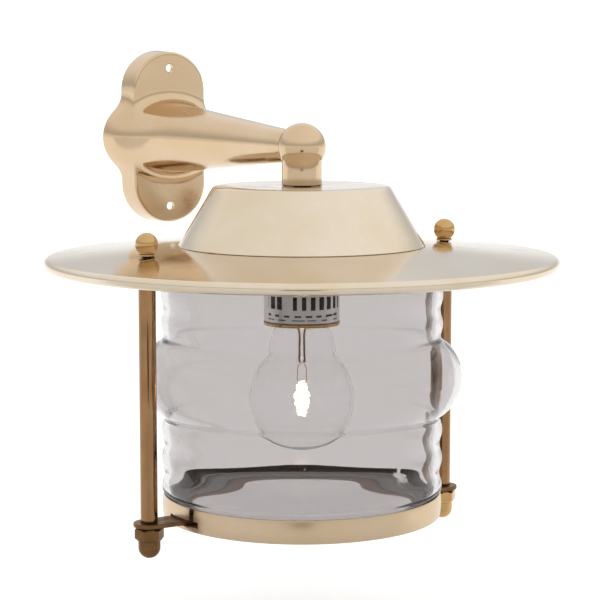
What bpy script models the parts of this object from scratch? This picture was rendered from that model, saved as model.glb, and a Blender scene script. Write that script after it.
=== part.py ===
"""Brass ship lantern for a wall: a cast bracket carries a wide brim, and a ribbed glass jar hangs below it.

Metres, +Z up. The wall is the plane y = 0, the lantern stands out towards -Y, and the arm's axis is z = 0.
"""

import math

import bmesh
import bpy
import numpy as np

MM = 0.001

# Driving dimensions
GAP = 0.3 * MM                     # clearance between touching pieces
AXIS_Y = -191 * MM                 # the lantern's upright axis
ROD_OFFSET = 100 * MM              # rods stand this far to each side of that axis
BALL_R = 14 * MM
STEM_R = 11.75 * MM
STEM_END_Z = -22 * MM
CAP_TOP_R = 51.7 * MM
CAP_BASE_R = 72.1 * MM
CAP_BASE_Z = -57 * MM
BRIM_R = 150 * MM
BRIM_DROP = 6 * MM                 # fall of the brim's top from the cap to its rim
BEAD_R = 3.2 * MM                  # rolled edge of the brim
SHEET = 1.5 * MM                   # thickness of the spun brass
JAR_TOP_Z = -62.2 * MM
JAR_BASE_Z = -208.6 * MM
JAR_R = 81.85 * MM                 # mean radius of the ribbed wall
JAR_WALL = 4 * MM
BULGE_R = 94.3 * MM                # radius at the middle of the belt
BULGE_Z = -133.7 * MM
BULGE_ARC = 25.5 * MM
RIB_PITCH = 17 * MM
RIB_FIRST = 31 * MM                # first rib crest above and below the belt's middle
RIB_HEIGHT = 0.85 * MM
JAR_CORNER = 3.5 * MM              # rounding at the foot
JAR_INNER_CORNER = 1.5 * MM        # bevel where the inside wall meets the floor
JAR_SHOULDER = 2 * MM              # slope from the ribbed wall in to the collar
RING_TOP_Z = -202 * MM
RING_BASE_Z = -215.5 * MM
RING_R = 82.3 * MM
RING_BORE_R = 81 * MM
LEDGE_R = 66 * MM
LEDGE_THICK = 2.7 * MM
ROD_R = 4.9 * MM
THREAD_R = 2.9 * MM                # screwed ends of the rods
HOLE_R = 3.25 * MM                 # clearance hole for a screwed end
HOLDER_R = 22.2 * MM
HOLDER_END_Z = -100 * MM
BULB_R = 31.2 * MM
BULB_END_Z = -179 * MM
NIPPLE_R = 5 * MM
NIPPLE_BORE_R = 3.6 * MM
NIPPLE_HOLE_R = NIPPLE_R + GAP

BIG_STEPS = 40
SMALL_STEPS = 20
TINY_STEPS = 12
MERGE = 1e-6

COLLECTION = "ship_lantern"
CUTTERS = "cutters"
SIDES = {"left": -1, "right": 1}


def start_scene():
    for obj in list(bpy.data.objects):
        bpy.data.objects.remove(obj, do_unlink=True)
    for name in (COLLECTION, CUTTERS):
        bpy.context.scene.collection.children.link(bpy.data.collections.new(name))


def make_material(name, colour, roughness, metallic=0.0, transmission=0.0, alpha=1.0):
    material = bpy.data.materials.new(name)
    material.use_nodes = True
    shader = material.node_tree.nodes["Principled BSDF"]
    shader.inputs["Base Color"].default_value = (*colour, 1)
    shader.inputs["Roughness"].default_value = roughness
    shader.inputs["Metallic"].default_value = metallic
    shader.inputs["Transmission Weight"].default_value = transmission
    shader.inputs["Alpha"].default_value = alpha
    material.diffuse_color = (*colour, alpha)
    return material


def link(obj, material=None):
    """A part goes to the lantern's collection with its material, a shape without one is a cutter."""
    if material is None:
        bpy.data.collections[CUTTERS].objects.link(obj)
        obj.hide_render = True
        obj.display_type = "WIRE"
    else:
        bpy.data.collections[COLLECTION].objects.link(obj)
        obj.data.materials.append(material)
    return obj


def mesh_object(name, bm, material=None, sharp=math.radians(35)):
    bmesh.ops.recalc_face_normals(bm, faces=bm.faces)
    mesh = bpy.data.meshes.new(name)
    bm.to_mesh(mesh)
    bm.free()
    mesh.shade_smooth()
    mesh.set_sharp_from_angle(angle=sharp)
    return link(bpy.data.objects.new(name, mesh), material)


def turned(name, profile, material=None, steps=SMALL_STEPS, closed=True, at=(0, 0, 0), rotation=(0, 0, 0)):
    """A profile of (radius, height) points, run down the outer side, turned about the object's own Z."""
    mesh = bpy.data.meshes.new(name)
    points = [(radius, 0, height) for radius, height in profile]
    edges = [(i, i + 1) for i in range(len(points) - 1)]
    if closed:
        edges.append((len(points) - 1, 0))
    mesh.from_pydata(points, edges, [])
    obj = link(bpy.data.objects.new(name, mesh), material)
    screw = obj.modifiers.new("turn", "SCREW")
    screw.axis = "Z"
    screw.angle = 2 * math.pi
    screw.steps = screw.render_steps = steps
    screw.use_merge_vertices = True
    screw.merge_threshold = MERGE
    screw.use_smooth_shade = True
    obj.location = at
    obj.rotation_euler = rotation
    return obj


def tube_profile(outer, inner, top, bottom):
    return [(outer, top), (outer, bottom), (inner, bottom), (inner, top)]


def disc_profile(radius, top, bottom):
    return [(0, top), (radius, top), (radius, bottom), (0, bottom)]


def box(name, size, centre, material=None, turn=0.0, pivot=(0, 0, 0)):
    """A box whose centre is given from the pivot and turned about the pivot's upright axis."""
    bm = bmesh.new()
    bmesh.ops.create_cube(bm, size=1)
    bmesh.ops.scale(bm, vec=size, verts=bm.verts)
    bmesh.ops.translate(bm, vec=centre, verts=bm.verts)
    obj = mesh_object(name, bm, material)
    obj.location = pivot
    obj.rotation_euler = (0, 0, turn)
    return obj


def prism(name, sides, radius, depth, material=None, at=(0, 0, 0), turn=0.0):
    bm = bmesh.new()
    bmesh.ops.create_cone(bm, cap_ends=True, segments=sides, radius1=radius, radius2=radius, depth=depth)
    obj = mesh_object(name, bm, material)
    obj.location = at
    obj.rotation_euler = (0, 0, turn)
    return obj


def boolean(obj, cutter, operation="DIFFERENCE"):
    modifier = obj.modifiers.new(cutter.name, "BOOLEAN")
    modifier.operation = operation
    modifier.object = cutter
    modifier.solver = "EXACT"


def wire(name, points, radius, material, resolution=2):
    curve = bpy.data.curves.new(name, "CURVE")
    curve.dimensions = "3D"
    curve.bevel_depth = radius
    curve.bevel_resolution = resolution
    curve.use_fill_caps = True
    spline = curve.splines.new("POLY")
    spline.points.add(len(points) - 1)
    for point, place in zip(spline.points, points):
        point.co = (*place, 1)
    return link(bpy.data.objects.new(name, curve), material)


def arc(centre, radius, start, end, count):
    """Points on an arc in the plane of a profile, angles in degrees from the +radius direction."""
    angles = [math.radians(start + (end - start) * i / count) for i in range(count + 1)]
    return [(centre[0] + radius * math.cos(a), centre[1] + radius * math.sin(a)) for a in angles]


def cone_rise(radius):
    """Height of the brim's upper face at a radius from the lantern's axis."""
    share = (radius - CAP_BASE_R) / (BRIM_R - BEAD_R - CAP_BASE_R)
    return CAP_BASE_Z - BRIM_DROP * share


# Wall bracket

PLATE_DEPTH = 18.5 * MM
PLATE_DRAFT = 0.06                 # the plate's sides lean in by this much for each unit from the wall
PLATE_ROUND = 1.6 * MM             # rounding of the plate's front edge
PLATE_WALL = 4 * MM
LOBE_R = 26.5 * MM
LOBE_Z = 30 * MM
HUB_R = 40 * MM                    # half the hub's width at the wall
HUB_LENGTH = 27 * MM               # distance over which the hub narrows to the arm
HUB_RISE = 4.2 * MM                # how much taller than the arm the hub is at the wall
FILLET = 6 * MM                    # soft blend between plate and hub
SCREW_Z = 45 * MM
SCREW_HOLE_R = 2.75 * MM
ARM_ROOT_R = 23.2 * MM
ARM_TIP_R = 10.2 * MM
ARM_TIP = 23.5 * MM                # the tip radius is measured this far from the lantern's axis
ARM_END = 8.5 * MM                 # the casting ends this far from the axis, against the ball
ARM_WALL = 3.4 * MM
ARM_BORE_END = 31 * MM             # the wide bore stops this far from the lantern's axis
ARM_BORE_R = 17 * MM
ARM_ROOT = -AXIS_Y - PLATE_DEPTH   # the plate's face, measured from the lantern's axis
CASTING_STEPS = 64
SIDEWAYS = math.radians(90)
TOWARDS_WALL = (-SIDEWAYS, 0, 0)   # turns a piece's own axis to point at the wall


def arm_radius(distance):
    """Radius of the arm at a distance from the lantern's axis."""
    return ARM_TIP_R + (ARM_ROOT_R - ARM_TIP_R) * (distance - ARM_TIP) / (ARM_ROOT - ARM_TIP)


def casting_gap(x, depth, z):
    """How far points are outside the solid casting: a plate of two lobes and a flared arm, softly joined."""
    side = np.hypot(x, np.maximum(np.abs(z) - LOBE_Z, 0)) - (LOBE_R - PLATE_DRAFT * depth) + PLATE_ROUND
    front = depth - PLATE_DEPTH + PLATE_ROUND
    plate = np.hypot(np.maximum(side, 0), np.maximum(front, 0)) - PLATE_ROUND
    plate = plate + np.minimum(np.maximum(side, front), 0)
    spread = 1 / (1 + (np.maximum(depth, 0) / HUB_LENGTH) ** 3.6)
    cone = arm_radius(-AXIS_Y - depth)
    wide = cone + (HUB_R - arm_radius(-AXIS_Y)) * spread
    tall = cone + HUB_RISE * spread ** 4
    share = np.hypot(x / wide, z / tall)
    arm = (share - 1) * share / np.maximum(np.hypot(x / wide ** 2, z / tall ** 2), 1e-9)
    near = np.maximum(FILLET - np.abs(plate - arm), 0) / FILLET
    return np.minimum(plate, arm) - near ** 2 * FILLET / 4


def casting_reach(origin, tilt):
    """Radius and distance from the wall where rays leave the casting, one for each angle about the arm.

    They start on the arm's axis, at a distance from the wall, and are tilted from straight ahead.
    """
    angle = np.arange(CASTING_STEPS) * 2 * math.pi / CASTING_STEPS
    low, high = np.zeros(CASTING_STEPS), np.full(CASTING_STEPS, 80 * MM)
    for _ in range(40):
        halfway = (low + high) / 2
        radius = halfway * np.sin(tilt)
        depth = origin + halfway * np.cos(tilt)
        outside = casting_gap(radius * np.sin(angle), depth, radius * np.cos(angle)) > 0
        high = np.where(outside, halfway, high)
        low = np.where(outside, low, halfway)
    return low * np.sin(tilt), origin + low * np.cos(tilt)


def casting_loft(name, rings, material=None):
    """A solid through rings about the arm's axis, each with radii and distances from the wall by angle."""
    bm = bmesh.new()
    rows = []
    for radii, depths in rings:
        row = []
        for i in range(CASTING_STEPS):
            angle = 2 * math.pi * i / CASTING_STEPS
            row.append(bm.verts.new((radii[i] * math.sin(angle), -depths[i], radii[i] * math.cos(angle))))
        rows.append(row)
    for lower, upper in zip(rows, rows[1:]):
        for i in range(CASTING_STEPS):
            j = (i + 1) % CASTING_STEPS
            bm.faces.new((lower[i], lower[j], upper[j], upper[i]))
    bm.faces.new(rows[0])
    bm.faces.new(rows[-1])
    return mesh_object(name, bm, material)


def casting_rings(edge):
    """Rings from the wall, over the plate's edge and face, and along the arm to its end."""
    flat = np.ones(CASTING_STEPS)
    origin = 10 * MM
    rings = [(edge, 0 * flat), casting_reach(origin / 2, SIDEWAYS), casting_reach(origin, SIDEWAYS)]
    ahead = PLATE_DEPTH - origin
    for share in (0.98, 0.965, 0.95, 0.88, 0.8, 0.72, 0.64, 0.56, 0.48, 0.4):
        tilt = np.arctan2(edge * share, ahead)
        rings.append(casting_reach(origin, tilt))
    last = math.radians(24)
    for step in range(1, 7):
        rings.append(casting_reach(origin, tilt + (last - tilt) * step / 6))
    start, end = rings[-1][1].max() + 2 * MM, -AXIS_Y - ARM_END
    for step in range(7):
        rings.append(casting_reach(start + (end - start) * step / 6, SIDEWAYS))
    return rings


def wall_bracket(brass):
    """One hollow casting: the plate, open to the wall, its flared hub and the tapered arm."""
    edge, _ = casting_reach(0, SIDEWAYS)
    flat = np.ones(CASTING_STEPS)
    casting = casting_loft("wall_bracket", casting_rings(edge), brass)
    seat_r = BALL_R + GAP
    seat = [(0, seat_r)] + arc((0, 0), seat_r, 75, -75, 10) + [(0, -seat_r)]
    boolean(casting, turned("ball_seat", seat, closed=False, steps=BIG_STEPS, at=(0, AXIS_Y, 0),
                            rotation=TOWARDS_WALL))
    collar = disc_profile(STEM_R + GAP, -3 * MM, STEM_END_Z)
    boolean(casting, turned("collar_seat", collar, closed=False, steps=BIG_STEPS, at=(0, AXIS_Y, 0)))
    back = PLATE_DEPTH - PLATE_WALL
    hollow = [(edge - PLATE_WALL, -MM * flat), (edge - PLATE_WALL - 3 * MM, back * flat)]
    boolean(casting, casting_loft("plate_cavity", hollow))
    bore = [(0, ARM_ROOT + 6 * MM), (ARM_BORE_R, ARM_ROOT + 6 * MM),
            (arm_radius(ARM_BORE_END) - ARM_WALL, ARM_BORE_END), (NIPPLE_HOLE_R, ARM_BORE_END),
            (NIPPLE_HOLE_R, 0), (0, 0)]
    boolean(casting, turned("arm_bore", bore, closed=False, at=(0, AXIS_Y, 0), rotation=TOWARDS_WALL))
    for end in (-1, 1):
        hole = disc_profile(SCREW_HOLE_R, 2 * MM, -PLATE_DEPTH - 2 * MM)
        boolean(casting, turned(f"screw_hole_{end}", hole, closed=False, steps=TINY_STEPS,
                                at=(0, 0, end * SCREW_Z), rotation=TOWARDS_WALL))


def ball_elbow(brass):
    """Hollow ball with a short collar below it, bored upright and towards the arm."""
    meet = math.degrees(math.asin(-math.sqrt(BALL_R ** 2 - STEM_R ** 2) / BALL_R))
    profile = arc((0, 0), BALL_R, 90, meet, 8)
    profile[0] = (0, BALL_R)
    profile += [(STEM_R, STEM_END_Z + 0.8 * MM), (STEM_R - 0.8 * MM, STEM_END_Z), (NIPPLE_HOLE_R, STEM_END_Z)]
    hollow_r = 9.5 * MM
    low = math.degrees(math.asin(math.sqrt(hollow_r ** 2 - NIPPLE_HOLE_R ** 2) / hollow_r))
    profile += arc((0, 0), hollow_r, -low, 90, 5)
    profile[-1] = (0, hollow_r)
    ball = turned("ball_elbow", profile, brass, closed=False, steps=24, at=(0, AXIS_Y, 0))
    boolean(ball, turned("elbow_port", disc_profile(NIPPLE_HOLE_R, 20 * MM, 4 * MM), closed=False,
                         at=(0, AXIS_Y, 0), rotation=TOWARDS_WALL))


def nipples(brass):
    """Screwed tubes that join arm, ball, cap and lampholder, with the lead inside them."""
    inner_end = 10.4 * MM
    turned("arm_nipple", tube_profile(NIPPLE_R, NIPPLE_BORE_R, 34 * MM, inner_end), brass, steps=TINY_STEPS,
           at=(0, AXIS_Y, 0), rotation=TOWARDS_WALL)
    turned("stem_nipple", tube_profile(NIPPLE_R, NIPPLE_BORE_R, -inner_end, -43 * MM), brass,
           steps=TINY_STEPS, at=(0, AXIS_Y, 0))


CAP_TOP_Z = STEM_END_Z - GAP
TAG_Z = CAP_TOP_Z - SHEET - GAP
TAG_THICK = 1 * MM
NUT_Z = TAG_Z - TAG_THICK - GAP


def cap(brass):
    """Truncated cone of spun sheet that stands on the brim over the lampholder."""
    corner = 1.4 * MM
    slope = math.degrees(math.atan2(CAP_TOP_Z - CAP_BASE_Z, CAP_BASE_R - CAP_TOP_R))
    base = CAP_BASE_Z + GAP
    centre = (CAP_TOP_R - corner * math.tan(math.radians(slope / 2)), CAP_TOP_Z - corner)
    outer = [(NIPPLE_HOLE_R, CAP_TOP_Z)] + arc(centre, corner, 90, 90 - slope, 4) + [(CAP_BASE_R, base)]
    across = SHEET / math.sin(math.radians(slope))
    inner = [(CAP_BASE_R - across, base), (centre[0] - 0.3 * MM, CAP_TOP_Z - SHEET),
             (NIPPLE_HOLE_R, CAP_TOP_Z - SHEET)]
    turned("cap", outer + inner, brass, steps=BIG_STEPS, at=(0, AXIS_Y, 0))


def brim(brass):
    """Wide, slightly coned disc of spun sheet with a rolled edge and a hole for each rod."""
    bore_r = 64 * MM
    edge = BRIM_R - BEAD_R
    bead_z = cone_rise(edge) - BEAD_R
    top = [(bore_r, cone_rise(bore_r)), (CAP_BASE_R, CAP_BASE_Z)]
    bead = arc((edge, bead_z), BEAD_R, 85, -180, 9)
    tuck = edge - BEAD_R
    under = [(tuck - SHEET, cone_rise(tuck) - SHEET), (bore_r, cone_rise(bore_r) - SHEET)]
    disc = turned("brim", top + bead + under, brass, steps=BIG_STEPS, at=(0, AXIS_Y, 0))
    for side, sign in SIDES.items():
        hole = turned(f"brim_hole_{side}", disc_profile(HOLE_R, -50 * MM, -70 * MM), closed=False,
                      steps=TINY_STEPS, at=(sign * ROD_OFFSET, AXIS_Y, 0))
        boolean(disc, hole)


def cap_fixings(brass):
    """Earth tag and hexagon nut that clamp the cap to the ball's collar from inside."""
    tag = turned("earth_tag", tube_profile(9 * MM, NIPPLE_HOLE_R, TAG_Z, TAG_Z - TAG_THICK), brass,
                 steps=TINY_STEPS, at=(0, AXIS_Y, 0))
    blade = box("earth_blade", (6.3 * MM, 14 * MM, 0.8 * MM), (0, -13 * MM, TAG_Z - TAG_THICK / 2),
                pivot=(0, AXIS_Y, 0))
    boolean(tag, blade, "UNION")
    thick = 4 * MM
    nut = prism("cap_nut", 6, 8.1 * MM, thick, brass, at=(0, AXIS_Y, NUT_Z - thick / 2))
    bore = disc_profile(NIPPLE_HOLE_R, NUT_Z + MM, NUT_Z - thick - MM)
    boolean(nut, turned("cap_nut_bore", bore, closed=False, steps=TINY_STEPS, at=(0, AXIS_Y, 0)))


# Lampholder

HOLDER_TOP_Z = -38.5 * MM
SPLIT_Z = -66 * MM                 # where the upper shell meets the skirt
CORE_TOP_Z = -59.5 * MM
TERMINAL_HEIGHT = 7 * MM
TERMINAL_TOP_Z = CORE_TOP_Z + GAP + TERMINAL_HEIGHT
SOCKET_TOP_Z = -70.5 * MM
SOCKET_R = 14.4 * MM


def lampholder(brass, steel, ceramic):
    centre = (0, AXIS_Y, 0)
    wall = 1 * MM
    shoulder = HOLDER_R - 6 * MM
    outer = [(NIPPLE_HOLE_R, HOLDER_TOP_Z), (9 * MM, HOLDER_TOP_Z), (9 * MM, HOLDER_TOP_Z - 5 * MM)]
    outer += arc((shoulder - MM, HOLDER_TOP_Z - 11 * MM), 6 * MM, 90, 0, 5) + [(HOLDER_R - MM, SPLIT_Z + GAP)]
    inner = [(HOLDER_R - MM - wall, SPLIT_Z + GAP)]
    inner += arc((shoulder - MM, HOLDER_TOP_Z - 11 * MM), 5 * MM, 0, 90, 5)
    inner += [(NIPPLE_HOLE_R, HOLDER_TOP_Z - 6 * MM)]
    turned("lampholder_shell", outer + inner, brass, steps=SMALL_STEPS, at=centre)
    turned("lampholder_skirt", tube_profile(HOLDER_R, HOLDER_R - wall, SPLIT_Z, HOLDER_END_Z), steel,
           steps=24, at=centre)
    lip_top = HOLDER_END_Z - GAP
    lip = [(HOLDER_R + 0.2 * MM, lip_top), (HOLDER_R + 0.2 * MM, lip_top - 2 * MM),
           (HOLDER_R - 0.6 * MM, lip_top - 2.6 * MM), (18.4 * MM, lip_top - 2.6 * MM), (18.4 * MM, lip_top)]
    turned("lampholder_lip", lip, brass, steps=24, at=centre)
    core_r = HOLDER_R - wall - MM - GAP
    core = [(0, CORE_TOP_Z), (core_r, CORE_TOP_Z), (core_r, HOLDER_END_Z + 1.5 * MM),
            (SOCKET_R, HOLDER_END_Z + 1.5 * MM), (SOCKET_R, SOCKET_TOP_Z), (0, SOCKET_TOP_Z)]
    turned("lampholder_core", core, ceramic, closed=False, steps=SMALL_STEPS, at=centre)
    turned("lampholder_thread", tube_profile(SOCKET_R - GAP, SOCKET_R - 0.9 * MM, SOCKET_TOP_Z - GAP,
                                             HOLDER_END_Z + 2.5 * MM), brass, steps=SMALL_STEPS, at=centre)
    contact_top = SOCKET_TOP_Z - GAP
    turned("lampholder_contact", disc_profile(3.4 * MM, contact_top, contact_top - 0.8 * MM), brass,
           closed=False, steps=TINY_STEPS, at=centre)
    block = (18 * MM, 10 * MM, TERMINAL_HEIGHT)
    box("terminal_block", block, (0, 0, TERMINAL_TOP_Z - TERMINAL_HEIGHT / 2), ceramic, pivot=centre)


BULB_TIP_Z = SOCKET_TOP_Z - 1.4 * MM
BULB_CAP_R = 12.9 * MM
BULB_CAP_END_Z = -99 * MM
GLOBE_Z = BULB_END_Z + BULB_R
FILAMENT_Z = -150 * MM


def bulb(brass, glass, ceramic, metal):
    """Screw-cap lamp: contact, insulator, cap, clear envelope, glass stem and the wires to its filament."""
    centre = (0, AXIS_Y, 0)
    tip_end = BULB_TIP_Z - 1.2 * MM
    turned("bulb_contact", disc_profile(4.8 * MM, BULB_TIP_Z, tip_end), metal, closed=False, steps=TINY_STEPS,
           at=centre)
    cone_top = tip_end - GAP
    cone_end = cone_top - 4.5 * MM
    turned("bulb_insulator", [(0, cone_top), (5.5 * MM, cone_top), (12 * MM, cone_end), (0, cone_end)],
           ceramic, closed=False, steps=TINY_STEPS, at=centre)
    turned("bulb_cap", tube_profile(BULB_CAP_R, BULB_CAP_R - 0.5 * MM, cone_end - GAP, BULB_CAP_END_Z), brass,
           steps=SMALL_STEPS, at=centre)
    skin = 0.9 * MM
    neck_r = 12 * MM
    neck_z = BULB_CAP_END_Z + 3.5 * MM
    shoulder = [(17.2 * MM, -107 * MM), (18.3 * MM, -113 * MM), (20.3 * MM, -119.5 * MM)]
    globe_start = 42
    inner = [(0, BULB_END_Z + skin)] + arc((0, GLOBE_Z), BULB_R - skin, -75, globe_start, 5)
    inner += [(radius - skin, height) for radius, height in reversed(shoulder)]
    inner += [(neck_r - skin, BULB_CAP_END_Z - 0.5 * MM), (neck_r - skin, neck_z)]
    outer = [(neck_r, neck_z), (neck_r, BULB_CAP_END_Z - 0.5 * MM), (15.2 * MM, -102.5 * MM)] + shoulder
    outer += arc((0, GLOBE_Z), BULB_R, globe_start, -80, 7) + [(0, BULB_END_Z)]
    turned("bulb_envelope", inner + outer, glass, closed=False, steps=20, at=centre)
    stem_end = -128.5 * MM
    stem = [(0, BULB_CAP_END_Z), (6 * MM, BULB_CAP_END_Z), (3.2 * MM, -107 * MM), (2.4 * MM, -124 * MM),
            (3.4 * MM, -126.5 * MM), (0, stem_end)]
    turned("bulb_stem", stem, glass, closed=False, steps=TINY_STEPS, at=centre)
    near, far, wire_r = 1.6 * MM, 6 * MM, 0.35 * MM
    top = stem_end - wire_r - GAP
    ends = [(near, top), (2.6 * MM, top - 6 * MM), (far, FILAMENT_Z + 2 * MM), (far, FILAMENT_Z)]
    wire("bulb_filament", [(-x, AXIS_Y, z) for x, z in ends] + [(x, AXIS_Y, z) for x, z in reversed(ends)],
         wire_r, metal)


def inner_lead(rubber):
    """The supply lead: from the wall through the arm, round the bend in the ball, down to the terminals."""
    radius, bend = 2 * MM, 9 * MM
    points = [(0, -2 * MM - i * 25 * MM, 0) for i in range(7)]
    for i in range(9):
        angle = math.radians(11.25 * i)
        points.append((0, AXIS_Y + bend * (1 - math.sin(angle)), bend * (math.cos(angle) - 1)))
    points.append((0, AXIS_Y, TERMINAL_TOP_Z + radius / 4 + GAP))
    wire("inner_lead", points, radius, rubber)


# Cage: jar, ring and rods, which drop away together

LEDGE_TOP_Z = RING_BASE_Z + LEDGE_THICK
FOOT_GASKET_R = 71.5 * MM
FOOT_GASKET_BORE_R = 67 * MM
TONGUE_BASE_Z = LEDGE_TOP_Z + GAP
TONGUE_THICK = 2.3 * MM
TONGUE_TOP_Z = TONGUE_BASE_Z + TONGUE_THICK
TONGUE_HALF = 9 * MM
TONGUE_END = 73 * MM               # inner end, from the lantern's axis
RIVET_X = 77 * MM
RIVET_HOLE_R = 1.8 * MM
SLOT_ROOM = 1.2 * MM               # above the tongue
SLOT_SIDE_ROOM = 0.8 * MM
NOTCH_WIDTH = 4.3 * MM
NOTCH_ANGLE = math.radians(10.3)   # from the tongue, about the lantern's axis


def jar_radius(z):
    """Outer radius of the jar's wall: a round belt in the middle and shallow ribs above and below it."""
    away = abs(z - BULGE_Z)
    rib = JAR_R + RIB_HEIGHT * math.cos(2 * math.pi * (away - RIB_FIRST) / RIB_PITCH)
    if away >= BULGE_ARC:
        return rib
    belt = BULGE_R - BULGE_ARC + math.sqrt(BULGE_ARC ** 2 - away ** 2)
    return max(belt, rib) if away < RIB_FIRST - RIB_PITCH / 2 else rib


def glass_jar(glass):
    """Open above, with a plain collar and a flat foot that stand inside the ring."""
    collar_r, collar_z = RING_BORE_R - GAP, RING_TOP_Z + GAP
    last_rib = collar_z + JAR_SHOULDER
    corner = (collar_r - JAR_CORNER, JAR_BASE_Z + JAR_CORNER)
    count = 27
    heights = [JAR_TOP_Z + (last_rib - JAR_TOP_Z) * i / count for i in range(count + 1)]
    outer = [(jar_radius(z), z) for z in heights] + [(collar_r, collar_z)]
    outer += arc(corner, JAR_CORNER, 0, -90, 4) + [(0, JAR_BASE_Z)]
    floor_z, inside_r = JAR_BASE_Z + JAR_WALL, collar_r - JAR_WALL
    inner = [(0, floor_z), (inside_r - JAR_INNER_CORNER, floor_z), (inside_r, floor_z + JAR_INNER_CORNER)]
    inner += [(jar_radius(z) - JAR_WALL, z) for z in reversed(heights[::3])]
    turned("glass_jar", inner + outer, glass, closed=False, steps=BIG_STEPS, at=(0, AXIS_Y, 0))


def bottom_ring(brass):
    """Crowned band with an inner ledge, slotted for a tongue on each side, with a notch beside each slot."""
    crown, shallow = 0.7 * MM, 0.15 * MM
    outer = [(RING_R - crown, RING_TOP_Z), (RING_R - shallow, RING_TOP_Z - 2.5 * MM),
             (RING_R, (RING_TOP_Z + RING_BASE_Z) / 2), (RING_R - shallow, RING_BASE_Z + 3 * MM),
             (RING_R - crown, RING_BASE_Z)]
    inner = [(LEDGE_R, RING_BASE_Z), (LEDGE_R, LEDGE_TOP_Z), (RING_BORE_R, LEDGE_TOP_Z),
             (RING_BORE_R, RING_TOP_Z)]
    centre = (0, AXIS_Y, 0)
    ring = turned("bottom_ring", outer + inner, brass, steps=BIG_STEPS, at=centre)
    wall = 6 * MM
    across = RING_BORE_R + MM
    slot_top = TONGUE_TOP_Z + SLOT_ROOM
    low = TONGUE_BASE_Z - GAP / 2
    passage = (wall, 2 * (TONGUE_HALF + SLOT_SIDE_ROOM), slot_top - low)
    slot = (wall, 12 * MM, slot_top - low)
    notch = (wall, NOTCH_WIDTH, RING_TOP_Z + MM - slot_top + MM)
    cuts = {
        "passage": (passage, 0, (slot_top + low) / 2),
        "slot": (slot, NOTCH_ANGLE, (slot_top + low) / 2),
        "notch": (notch, NOTCH_ANGLE, (RING_TOP_Z + slot_top) / 2),
    }
    for side, sign in SIDES.items():
        facing = math.pi if sign < 0 else 0
        for cut, (size, turn, height) in cuts.items():
            cutter = box(f"ring_{cut}_{side}", size, (across, 0, height), turn=facing + turn, pivot=centre)
            boolean(ring, cutter)
        hole = disc_profile(RIVET_HOLE_R, LEDGE_TOP_Z + MM, RING_BASE_Z - MM)
        boolean(ring, turned(f"ring_rivet_hole_{side}", hole, closed=False, steps=TINY_STEPS,
                             at=(sign * RIVET_X, AXIS_Y, 0)))


def tongue(side, sign, brass):
    """Flat lug from the ring's ledge to the rod, rounded about the rod."""
    name = f"tongue_{side}"
    curve = bpy.data.curves.new(name, "CURVE")
    curve.dimensions = "2D"
    curve.fill_mode = "BOTH"
    curve.extrude = TONGUE_THICK / 2
    head = [(ROD_OFFSET + x, y) for x, y in arc((0, 0), TONGUE_HALF, -90, 90, 12)]
    outlines = [head + [(TONGUE_END, TONGUE_HALF), (TONGUE_END, -TONGUE_HALF)],
                [(ROD_OFFSET + x, y) for x, y in arc((0, 0), HOLE_R, 0, 337.5, 15)],
                [(RIVET_X + x, y) for x, y in arc((0, 0), RIVET_HOLE_R, 0, 337.5, 15)]]
    for outline in outlines:
        spline = curve.splines.new("POLY")
        spline.points.add(len(outline) - 1)
        spline.use_cyclic_u = True
        for point, (x, y) in zip(spline.points, outline):
            point.co = (x, y, 0, 1)
    obj = link(bpy.data.objects.new(name, curve), brass)
    obj.location = (0, AXIS_Y, (TONGUE_BASE_Z + TONGUE_TOP_Z) / 2)
    obj.rotation_euler = (0, 0, math.pi if sign < 0 else 0)


def rod(side, sign, brass):
    """Round rod with a shoulder and a thinner screwed length at each end."""
    top = cone_rise(ROD_OFFSET + ROD_R) - SHEET - GAP
    base = TONGUE_TOP_Z + GAP
    high, low = KNOB_Z + MM, NUT_END_Z - 2 * MM
    profile = [(0, high), (THREAD_R, high), (THREAD_R, top), (ROD_R, top), (ROD_R, base), (THREAD_R, base),
               (THREAD_R, low), (0, low)]
    turned(f"rod_{side}", profile, brass, closed=False, steps=TINY_STEPS, at=(sign * ROD_OFFSET, AXIS_Y, 0))


KNOB_R = 6.5 * MM
KNOB_NECK_R = 4.4 * MM
KNOB_WASHER_R = 4.7 * MM
KNOB_WASHER_Z = cone_rise(ROD_OFFSET - KNOB_WASHER_R) + GAP
KNOB_WASHER_THICK = 1 * MM
KNOB_BASE_Z = KNOB_WASHER_Z + KNOB_WASHER_THICK + GAP
KNOB_Z = KNOB_BASE_Z + 0.5 * MM + math.sqrt(KNOB_R ** 2 - KNOB_NECK_R ** 2)


def ball_knob(side, sign, brass):
    """Ball nut, bored from below, on a thin washer."""
    at = (sign * ROD_OFFSET, AXIS_Y, 0)
    washer = tube_profile(KNOB_WASHER_R, HOLE_R, KNOB_WASHER_Z + KNOB_WASHER_THICK, KNOB_WASHER_Z)
    turned(f"knob_washer_{side}", washer, brass, steps=TINY_STEPS, at=at)
    low = -math.degrees(math.acos(KNOB_NECK_R / KNOB_R))
    profile = [(0, KNOB_Z + KNOB_R)] + arc((0, KNOB_Z), KNOB_R, 75, low, 7)
    bore_end = KNOB_Z + 2 * MM
    profile += [(KNOB_NECK_R, KNOB_BASE_Z), (HOLE_R, KNOB_BASE_Z), (HOLE_R, bore_end), (0, bore_end)]
    turned(f"ball_knob_{side}", profile, brass, closed=False, steps=16, at=at)


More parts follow.
